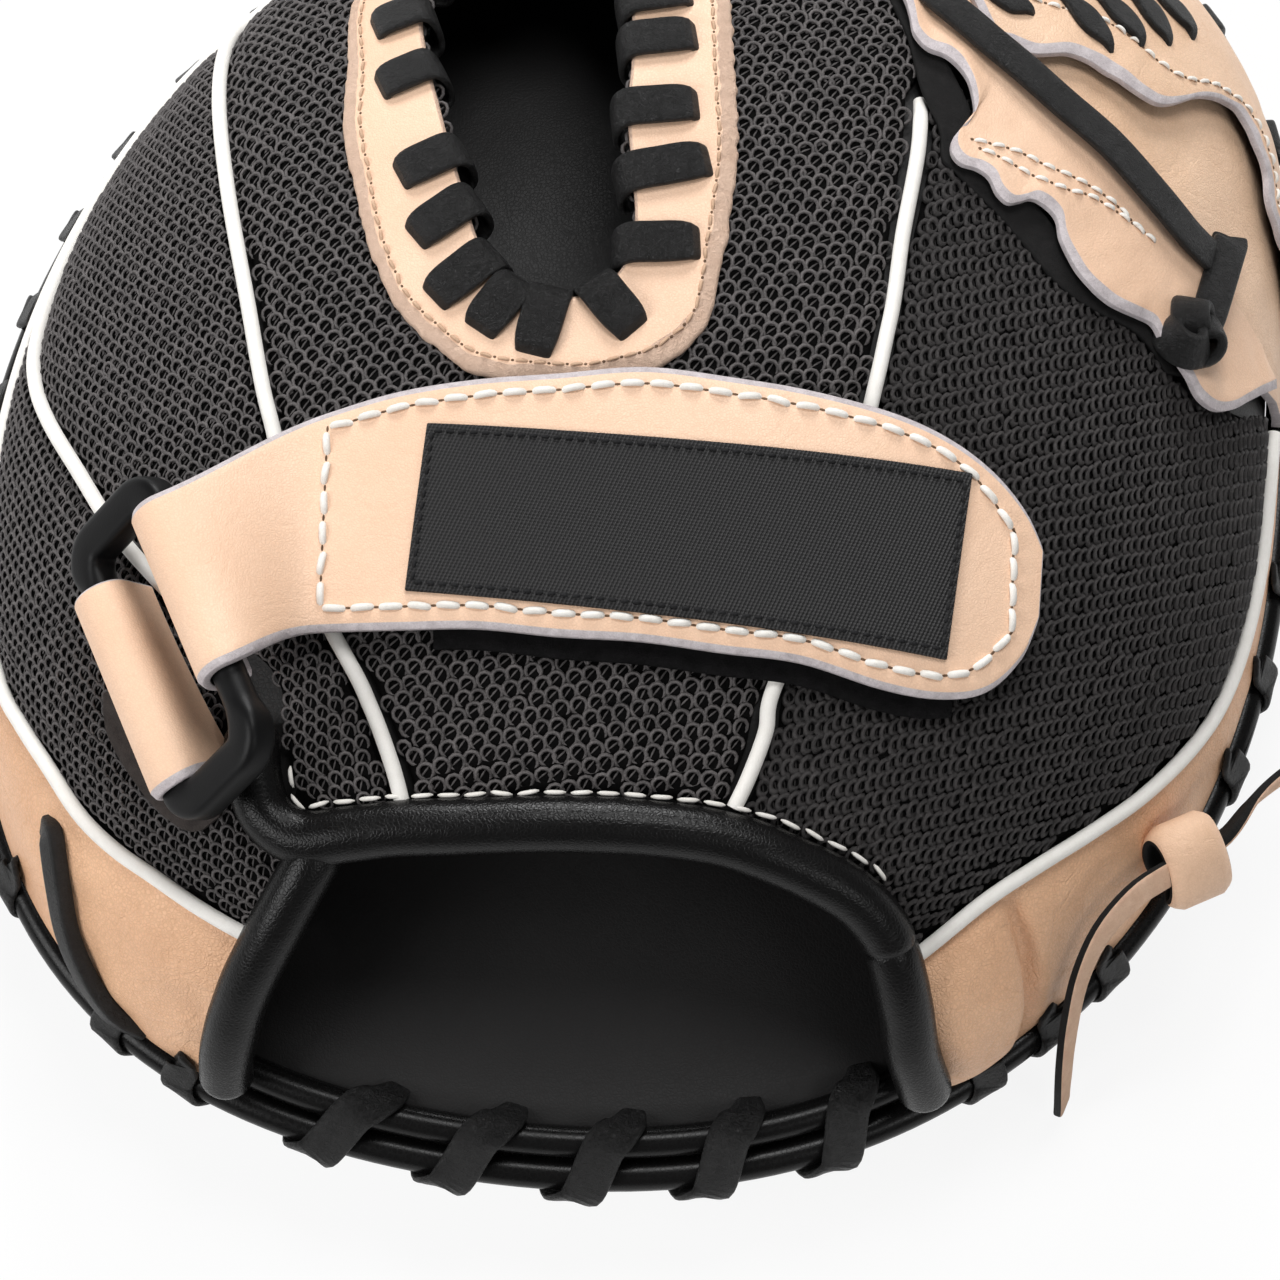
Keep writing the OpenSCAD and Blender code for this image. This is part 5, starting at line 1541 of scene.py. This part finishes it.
edge_u, edge_v = np.linspace(BORDER_U, 1 - BORDER_U, 120), np.linspace(BORDER_V, 1 - BORDER_V, 40)
label_sides = [label_q(edge_u, v) for v in (BORDER_V, 1 - BORDER_V)]
label_sides += [label_q(u, edge_v) for u in (BORDER_U, 1 - BORDER_U)]
seam("label_stitches", [on_back(q, LABEL_TOP) for q in label_sides], 2.2, BLACK_THREAD, "label_weave",
     body="strap", width=0.7, holes=None)


# %% Moulded ring
RING_SIDES, CHEEK_W, CHEEK_FROM, CHEEK_BLEND = 28, 6, 19, 6
RING_CORNER, RING_ROUND, CORNER_STEPS = 4.8, 200, 12


def ring_path():
    """The ring's middle line in its own plane, a rectangle with round corners."""
    half_x, half_y = RING_SPAN / 2, (RING_LENGTH - CHEEK_W) / 2
    corners = [(half_x, half_y, 0), (-half_x, half_y, 90), (-half_x, -half_y, 180), (half_x, -half_y, 270)]
    points = []
    for cx, cy, start in corners:
        mid = np.array([cx - math.copysign(RING_CORNER, cx), cy - math.copysign(RING_CORNER, cy)])
        for k in range(CORNER_STEPS + 1):
            a = math.radians(start + 90 * k / CORNER_STEPS)
            points.append(mid + RING_CORNER * np.array([math.cos(a), math.sin(a)]))
    return even(np.array(points + points[:1]), RING_ROUND)[:-1]


flat_ring = ring_path()
ring_spots = ring_seat + (flat_ring[:, :1] + RING_SPAN / 2) * ring_side - flat_ring[:, 1:] * ring_axis
cheek = smooth((np.abs(flat_ring[:, 1]) - CHEEK_FROM) / CHEEK_BLEND)
circle = round_section(1, RING_SIDES)
square = rounded(circle, 0.5)
shape = circle[None] * (1 - cheek)[:, None, None] + square[None] * cheek[:, None, None]
half = np.stack([BAR_R + 0.6 * cheek, BAR_R + 0.1 * cheek], -1)
ring_ups = np.tile(ring_normal, (len(ring_spots), 1))
verts, faces = sweep(ring_spots, ring_ups, shape * half[:, None, :], closed=True)
wear(add_mesh("moulded_ring", verts, faces, [RING_PLASTIC]), "ring_plastic", "strap_ring", body="ring")
print("ring section has", RING_SIDES, "sides on", len(ring_spots), "places")


# %% Ring tab
TAB_W, TAB_SHIFT, TAB_UP, TAB_GAP = 42.0, -2.0, 0.4, 0.5


def foot_chart(p):
    """The map point whose normal runs through a place."""
    q = chart_of(p - PLAN)
    for _ in range(2):
        n = dome_normal(q)
        q = chart_of(p - ((p - dome_at(q)) @ n) * n - PLAN)
    return q


def tab_profile(y, off):
    """The tab's line over the near bar, at a place along the bar and a distance from its inside."""
    foot = ring_seat - y * ring_axis
    q = foot_chart(foot)
    n = dome_normal(q)
    s = unit(np.cross(n, -ring_axis))
    r = BAR_R + TAB_GAP + off
    arc = [foot + r * (math.cos(p) * s + math.sin(p) * n) for p in np.radians(np.linspace(0, 180, 33))]
    near = [lift(q, TAB_UP) + s * (r + 0.4), foot + s * (r + 0.1) - n * 2.0]
    far = [foot - s * (r + 0.1) - n * 2.0, lift(q, TAB_UP) - s * (r + 0.4)]
    return even(spline(np.array(near + arc[::4] + far), 160), 60)


tab_y = TAB_SHIFT + TAB_W * (0.5 - np.linspace(0, 1, 25))
tab_top, tab_under = (np.array([tab_profile(y, off) for y in tab_y]) for off in (STRAP_T, 0))
tab = slab("ring_tab_leather", tab_top, tab_under, (TAN, RAW_GRAY, SUEDE), bare_rim="end")
wear(tab, "tan_leather", "ring_tab")

FOOT_EDGE = [[-152.6, 41.6], [-149.2, 40.2], [-144, 40.5], [-139.6, 41], [-136.6, 42], [-135.4, 43.4]]
FOOT_INNER = [[-151.5, 48], [-146, 48.3], [-141, 48.2], [-137.4, 47.8], [-135.6, 47], [-134.9, 46]]
foot_rows = with_margin(spline(chart(FOOT_INNER), 60), spline(chart(FOOT_EDGE), 60), 8, 1.6)
wear(chart_sheet("ring_tab_foot", foot_rows, -0.4, 1.2, (SUEDE, SUEDE, SUEDE)), "tan_leather")
print("ring tab is", TAB_W, "mm wide")

# %% [markdown]
# ## Web
# The web joins thumb and fingers. From the back it shows a tan base flap with a wavy cut edge, a
# panel above it with slanted lacing, and one wide lace that ties them together. On the catching
# side a front hide fills the gap in the palm, its two ends tucked under the palm hide.

# %% Web leathers
WEB_INNER = [[61.5, 45], [56, 52], [48, 56], [40, 57.5], [33, 57], [25.5, 55], [18, 51], [13, 45],
             [9.5, 37]]
WEB_RIM = [[76, 3], [67, 3], [58, 3], [50, 3], [42, 3], [34, 3], [26, 3], [17, 3], [8.5, 3]]
CAP_EDGE = [[61, 40], [55, 50], [48.2, 55.3], [45.7, 54.9], [43.4, 53.4], [41.7, 50.4], [39.7, 48.3],
            [37.6, 46.8], [35.5, 45.1], [33.9, 42.8], [33.4, 39.6], [33.5, 35.4], [33.1, 31.1],
            [32.3, 27.4], [31, 25.7], [29.3, 24.7], [26.8, 23.2], [23.9, 22.7], [19, 15]]
CAP_RIM = [[71, 4], [63, 4], [54, 4], [46, 4], [38, 4], [30, 4], [23, 4], [15, 4]]
FLAP_EDGE = [[61.5, 53], [58.4, 55.7], [56.2, 57.8], [54.2, 59.7], [52, 60.3], [49.5, 59.9],
             [46.9, 60.2], [44.3, 61.1], [42.1, 62.2], [41.1, 63.7], [40.9, 65.2], [39.3, 66.1],
             [37.3, 65.9], [35.7, 64.8], [33.6, 64], [31.3, 63.8], [29.5, 63], [29.1, 61.7],
             [28.9, 60.5], [27.4, 59.2], [25.5, 58.3], [23, 58.1], [19.9, 57], [16.8, 55.2],
             [14.5, 52.7], [13.2, 50.1], [12.1, 46.8], [10.4, 45.4], [8.1, 43.2], [6.1, 40.9],
             [4.5, 38.6], [3.9, 35.7], [4.7, 32.2], [6.5, 27.9], [8.6, 21.2]]
FLAP_OUTER = [[60.5, 47.5], [55.5, 51], [49, 53], [43, 53.5], [37, 52.5], [32, 50.5], [27, 47.5],
              [22.5, 43.5], [18.5, 38.5], [16, 33.5], [14, 29.5], [12, 25]]
FLAP_ROWS = ([[39.3, 63.9], [37.2, 62.3], [34.8, 60.3], [31.6, 57.8], [29, 54.8], [26.1, 51.5],
              [22.9, 48.5], [20.7, 45.8]],
             [[37.7, 63.7], [34.8, 62], [31.2, 59.6], [28.5, 56.7], [27, 53.9], [24.3, 50.4], [21.7, 47.2]])
TIE_LINE = [[57.5, 53], [54.8, 55], [50.6, 56.1], [45, 56.3], [37.8, 54.7], [31.2, 51], [25.5, 46.8],
            [21.4, 42.4], [19.2, 38]]
TIE_DROP = [[21.2, 32], [20.4, 33.1], [18, 34.8], [14.5, 36.8], [11.9, 38]]
WEB_T, WEB_MARGIN = 1.9, 1.9
FRONT_FIRST, FRONT_LAST, FRONT_IN, FRONT_TUCK, TUCK_BLEND = 11, 77, 0.455, 2.9, 7
ABOVE_WEB, SEAM_UP = 20.0, 0.1


def evenly(line, n, fine=400):
    """A traced line on the map in n even steps."""
    return even(spline(chart(line), fine), n)


def web_fold(p):
    return 0.7 * abs(noise.noise(Vector(p) * 0.07)) + 0.35 * noise.noise(Vector(p) * 0.2)


def web_piece(name, outer_line, edge_line, n, low, rise, finish, node_name):
    """A hide from the rim to its cut edge, where it stands up by rise and shows the edge."""
    rows = with_margin(evenly(outer_line, n), evenly(edge_line, n), 16, WEB_MARGIN)
    t = np.linspace(0, 1, rows.shape[1])
    folds = np.array([[web_fold(p) for p in row] for row in dome_at(rows)])
    heights = low + rise * t**2 + folds * (0.3 + t)
    top, under = lift(rows, heights + WEB_T), lift(rows, heights)
    piece = slab(name, top, under, (finish, RAW_GRAY, SUEDE), bare_rim="last")
    return wear(piece, "tan_leather", node_name)


CAP_STEPS = 160
web_piece("web_back_hide", WEB_RIM, WEB_INNER, 90, low=-1.9, rise=0.4, finish=WEB,
          node_name="web_back_lower")
cap = web_piece("web_cap_hide", CAP_RIM, CAP_EDGE, CAP_STEPS, low=0.5, rise=2.2, finish=WEB,
                node_name="web_back_upper")
flap = web_piece("web_flap_hide", FLAP_OUTER, FLAP_EDGE, 260, low=0.5, rise=1.6, finish=TAN,
                 node_name="web_base_flap")
print("faces of cap and flap:", len(cap.data.polygons), len(flap.data.polygons))

# %% Backing and front of the web
BACKING_EDGE = [[60.7, 54.4], [58.3, 56.6], [55, 59.2], [49.6, 63.1], [43.5, 65], [40.1, 66.4],
                [38.2, 66.2], [33.6, 65.1], [28.2, 63.1], [23.3, 61], [17.5, 57.5], [14, 53.2],
                [11, 47.1], [7.2, 43]]
backing_edge = evenly(BACKING_EDGE, 120, fine=300)
backing_rows = between(backing_edge, 1.14 * backing_edge, 6)
backing = chart_sheet("web_flap_backing", backing_rows, -0.6, 0.9, (RAW_BLACK, RAW_BLACK, RAW_BLACK),
                      edge=0.4)
wear(backing, "lining")

front_angles, front_shares = np.linspace(FRONT_FIRST, FRONT_LAST, 80), np.linspace(PALM_EDGE, FRONT_IN, 24)
front_a, front_s = np.meshgrid(front_angles, front_shares, indexing="ij")
front_out = palm_normal(front_a, front_s)
clear = smooth((front_a - FRONT_FIRST - 2) / TUCK_BLEND) * smooth((FRONT_LAST - front_a) / TUCK_BLEND)
front_face = palm(front_a, front_s) - FRONT_TUCK * (1 - clear)[..., None] * front_out
front_under = front_face - PALM_T * front_out
front = slab("web_front_hide", front_face, front_under, (WEB, RAW_GRAY, SUEDE), edge=0.6)
wear(front, "tan_leather", "web_front")
print("web front faces:", len(front.data.polygons))


# %% Stitches on the web
def laid_on(piece, q, gap):
    """Map points dropped on a piece's outer face, with the normals of the back."""
    mesh = piece.data
    tree = BVHTree.FromPolygons([v.co for v in mesh.vertices], [f.vertices for f in mesh.polygons])
    spots, ups = [], []
    for place, up in zip(lift(q, ABOVE_WEB), dome_normal(q)):
        hit = tree.ray_cast(Vector(place * MM), -Vector(up))[0]
        if hit is not None:
            spots.append(np.array(hit) / MM + gap * up)
            ups.append(up)
    return np.array(spots), np.array(ups)


flap_seams = [laid_on(flap, spline(chart(line), 60), SEAM_UP) for line in FLAP_ROWS]
seam("flap_stitches", flap_seams, 3.6, THREAD, "piping", width=0.9)
cap_edge, cap_rim = evenly(CAP_EDGE, CAP_STEPS), evenly(CAP_RIM, CAP_STEPS)
cap_seam = laid_on(cap, (cap_edge + 0.13 * (cap_rim - cap_edge))[30:150], SEAM_UP)
seam("cap_stitches", [cap_seam], 3.6, THREAD, "piping", width=0.9)


# %% Tie lace of the web
def lace_on_back(line, n, h, dive):
    """A lace at a height over the dome, whose two ends dive into their holes."""
    q = spline(chart(line), n)
    heights = h + LACE_T / 2 - dive * at_both_ends(np.linspace(0, 1, n + 1), 0.12)
    return lift(q, heights), dome_normal(q), False


TIE_AT, TIE_UP, TIE_SIZE = chart([10.9, 40.5]), 6.0, 2.7
turns = np.linspace(0, 2 * np.pi, 90, endpoint=False)
tie_out = dome_normal(TIE_AT)
tie_x = unit(np.cross([0, 0, 1.0], tie_out))
tie_y = np.cross(tie_out, tie_x)
tie_r = 1.4 + 0.85 * np.cos(3 * turns)
trefoil = np.outer(tie_r * np.cos(2 * turns), tie_x) + np.outer(tie_r * np.sin(2 * turns), tie_y)
trefoil = trefoil + np.outer(0.9 * np.sin(3 * turns), tie_out)
tie_path = lift(TIE_AT, TIE_UP) + np.array([-2.0, 0, 0]) + TIE_SIZE * trefoil
drop_path, drop_ups, _ = lace_on_back(TIE_DROP, 24, h=5.2, dive=1.2)
drop = (drop_path + np.array([-3.0, -1.5, 0.5]), unit(drop_ups + np.array([-0.4, -0.5, 1.3])), False)
tie_parts = [lace_on_back(TIE_LINE, 60, h=4.6, dive=1.5), drop]
lace_piece("web_tie_strap", tie_parts, "web_tie_lace", t=LACE_T + 0.3)
lace_piece("web_tie_knot", [(tie_path, unit(trefoil + 0.6 * tie_out), True)], w=7.4, t=2.2)
print("tie lace of the web:", len(tie_parts), "stretches and a knot")

# %% Laces over the rim
RIM_CENTRE, WELT_R = (0.5, 30.0), 3.2
HEEL_CENTRE, HEEL_R = (-4.6, 35.2), 3.0
LACE_GAP, SNUG_GAP = 1.25, 0.6
LACE_DIVE, WRAP_ENDS, WRAP_TAPER = 2.2, 0.8, 0.1


def up_at(b, phi):
    """The way out of a welt at an angle round the mitt, phi degrees over the level."""
    return math.cos(math.radians(phi)) * out_at(b) + np.array([0, 0, math.sin(math.radians(phi))])


def on_welt(b, centre, r, phi):
    return (rim_r(b) + centre[0]) * out_at(b) + np.array([0, 0, centre[1]]) + r * up_at(b, phi) + PLAN


def palm_end(a, s):
    """Where a lace ends on the catching face, and the way out of that face."""
    n = palm_normal(a, s)
    return palm(a, s) + LACE_GAP * n, n


def rim_wrap(a, skew, lat, h=0.3, low_s=0.66):
    """A lace from a hole on the back, over the rim welt and down to the catching face."""
    points, ups = [], []
    for t, sink in ((0.3, 3.0), (0.55, 1.0), (0.8, 0.1)):
        q = chart([a + skew * t * 0.5, lat + (5 - lat) * t])
        points.append(lift(q, h + LACE_GAP - sink))
        ups.append(dome_normal(q))
    for k in range(4):
        phi, b = 42 - 35 * k, a + skew * (0.4 + 0.1 * k)
        points.append(on_welt(b, RIM_CENTRE, WELT_R + SNUG_GAP, phi))
        ups.append(up_at(b, phi))
    for t, s in ((0.8, 0.84), (0.9, 0.75), (1.0, low_s)):
        place, up = palm_end(a + skew * t, s)
        points.append(place)
        ups.append(up)
    return (*smooth_lace(np.array(points), np.array(ups), 40), False)


# %% Laces on the web
SLASHES = [[[66, 40], [62, 33], [59, 27]], [[58, 40], [54, 33], [51, 27]],
           [[53, 52], [50, 51.2], [48.3, 50.5], [46.8, 50]],
           [[49, 45.5], [45.6, 45.5], [43.4, 45.5], [41.2, 45.5], [39.5, 45.7]],
           [[48, 41.6], [44.4, 41.1], [42.5, 40.6], [40.3, 40.6], [39, 41]],
           [[47, 36.3], [43.3, 36], [41.6, 35.7], [39.6, 35.9], [38.3, 36.1]],
           [[46, 31.2], [42.7, 30.9], [41.1, 30.1], [39.6, 29.9], [38.3, 30.4]]]


def slash(line):
    """A lace across the web's cap, from one hole to the next."""
    spots, ups = laid_on(cap, spline(chart(line), 28), LACE_T / 2)
    dive = LACE_DIVE * at_both_ends(np.linspace(0, 1, len(spots)), 0.1)
    return spots - dive[:, None] * ups, ups, False


lace_piece("web_cap_lacing", [slash(line) for line in SLASHES], "web_lacing", ends=0.12, taper=0.32)
web_wraps = [rim_wrap(a, 0, 11, h=2.4, low_s=0.7) for a in (72, 62, 52, 42, 32, 22)]
lace_piece("web_rim_lacing", web_wraps, ends=WRAP_ENDS, taper=WRAP_TAPER)
print("laces on the web:", len(SLASHES) + len(web_wraps))

# %% [markdown]
# ## Rim
# Two welts close the edge: one round the whole mitt and a second along the heel. Flat lace whips
# over them, every two centimetres or so, from a hole in the back to a hole in the palm.

# %% Welts
WELT_SIDES = 20
rim_line = np.array([on_welt(a, RIM_CENTRE, 0, 0) for a in np.arange(0, 360, 1.5)])
round_cord("rim_welt_roll", rim_line, WELT_R, WELT_SIDES, WELT, "roll_leather", "rim_welt", closed=True)
heel_line = np.array([on_welt(a, HEEL_CENTRE, 0, 0) for a in np.linspace(-125, -63.5, 80)])
round_cord("heel_welt_roll", heel_line, HEEL_R, WELT_SIDES, WELT, "roll_leather", "heel_welt")
print("heel welt is", round(float(run_along(heel_line)[-1])), "mm long")

# %% Lacing round the rim
HEEL_HOLE_IN, HEEL_HOLE_LOW, HEEL_END = 12.0, 2.4, 0.66
HEEL_TURNS = [(HEEL_CENTRE, HEEL_R, phi) for phi in (135, 100, 62)]
HEEL_TURNS += [(RIM_CENTRE, WELT_R, phi) for phi in (24, -12, -50, -85)]


def heel_wrap(a, skew):
    """A taut lace from a hole in the lining, slanting over both welts, down to the catching face."""
    b = a + skew * np.array([0, 0.14, 0.30, 0.48, 0.74, 0.90, 1.02, 1.1])
    points = [lining_at(b[0], 1 - HEEL_HOLE_IN / rim_r(b[0])) - np.array([0, 0, HEEL_HOLE_LOW])]
    ups = [unit(up_at(b[0], 100))]
    for at, (centre, r, phi) in zip(b[1:], HEEL_TURNS):
        points.append(on_welt(at, centre, r + LACE_GAP, phi))
        ups.append(up_at(at, phi))
    place, up = palm_end(a + 1.2 * skew, HEEL_END)
    return (*smooth_lace(np.array(points + [place]), np.array(ups + [up]), 40), False)


heel_wraps = [heel_wrap(-110.5 + 10.6 * k, -6) for k in range(5)]
lace_piece("heel_whip_lace", heel_wraps, "heel_lacing", w=WHIP_W, ends=0.45, taper=0.12)
finger_wraps = [rim_wrap(-163 - 9 * k, -3, 8.5) for k in range(14)]
finger_wraps += [rim_wrap(a, 4, 6) for a in (-129, -136, -150)]
lace_piece("finger_rim_lace", finger_wraps, "finger_rim_lacing", ends=WRAP_ENDS, taper=WRAP_TAPER)
LONG_LINE = [[-147.5, 22.8], [-145.7, 24], [-142.8, 20.3], [-140.1, 15], [-137.4, 10.5], [-134.2, 5.9],
             [-131.9, 2.8]]
lace_piece("finger_long_lace", [lace_on_back(LONG_LINE, 40, h=1.4, dive=2.6)], w=4.8, t=3.6)
thumb_wraps = [rim_wrap(a, -4, 6) for a in (-57, -50, -43, -22, -13, -4)]
lace_piece("thumb_rim_lace", thumb_wraps, "thumb_rim_lacing", ends=WRAP_ENDS, taper=WRAP_TAPER)
print("wraps on the rim:", len(heel_wraps) + len(finger_wraps) + len(thumb_wraps))

# %% [markdown]
# ## Inside the hand space
# A flat leather loop for the thumb and one for the little finger stand on the lining. The photo
# does not show them, but such mitts usually have them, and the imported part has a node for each.

# %% Loops for thumb and little finger
LOOP_W, LOOP_T, LOOP_HALF, LOOP_HIGH, LOOP_SEAT = 14, 1.8, 15, 26, 0.5


def hand_loop(name, x, y, node_name):
    """A half ring of flat leather that stands on the lining inside the hand space."""
    turns = np.linspace(0, np.pi, 48)
    sideways, upwards = np.array([1, 0, 0]), np.array([0, 0, 1])
    a = math.degrees(math.atan2(y, x))
    foot = np.array([x, y, float(lining_z(math.hypot(x, y) / float(rim_r(a)))) + LOOP_SEAT]) + PLAN
    path = foot + np.outer(LOOP_HALF * np.cos(turns), sideways)
    path = path + np.outer(LOOP_HIGH * np.sin(turns), upwards)
    ups = np.outer(np.cos(turns), sideways) + np.outer(np.sin(turns) + 0.01, upwards)
    wear(strip(name, [(path, ups, False)], LOOP_W, LOOP_T, (THONG, RAW_GRAY)), "thong_leather", node_name)
    print(name, "is", round(float(run_along(path)[-1])), "mm long")


hand_loop("thumb_loop_strip", 58, 6, "thumb_loop")
hand_loop("little_finger_loop_strip", -62, 4, "pinky_loop")

# %% [markdown]
# ## Finish
# The small pieces were only patterns for the copies, so they go.

# %% Patterns go
for pattern in (STITCH, SHADE_DOT, LOOP, ROPE_LOOP):
    bpy.data.objects.remove(pattern)
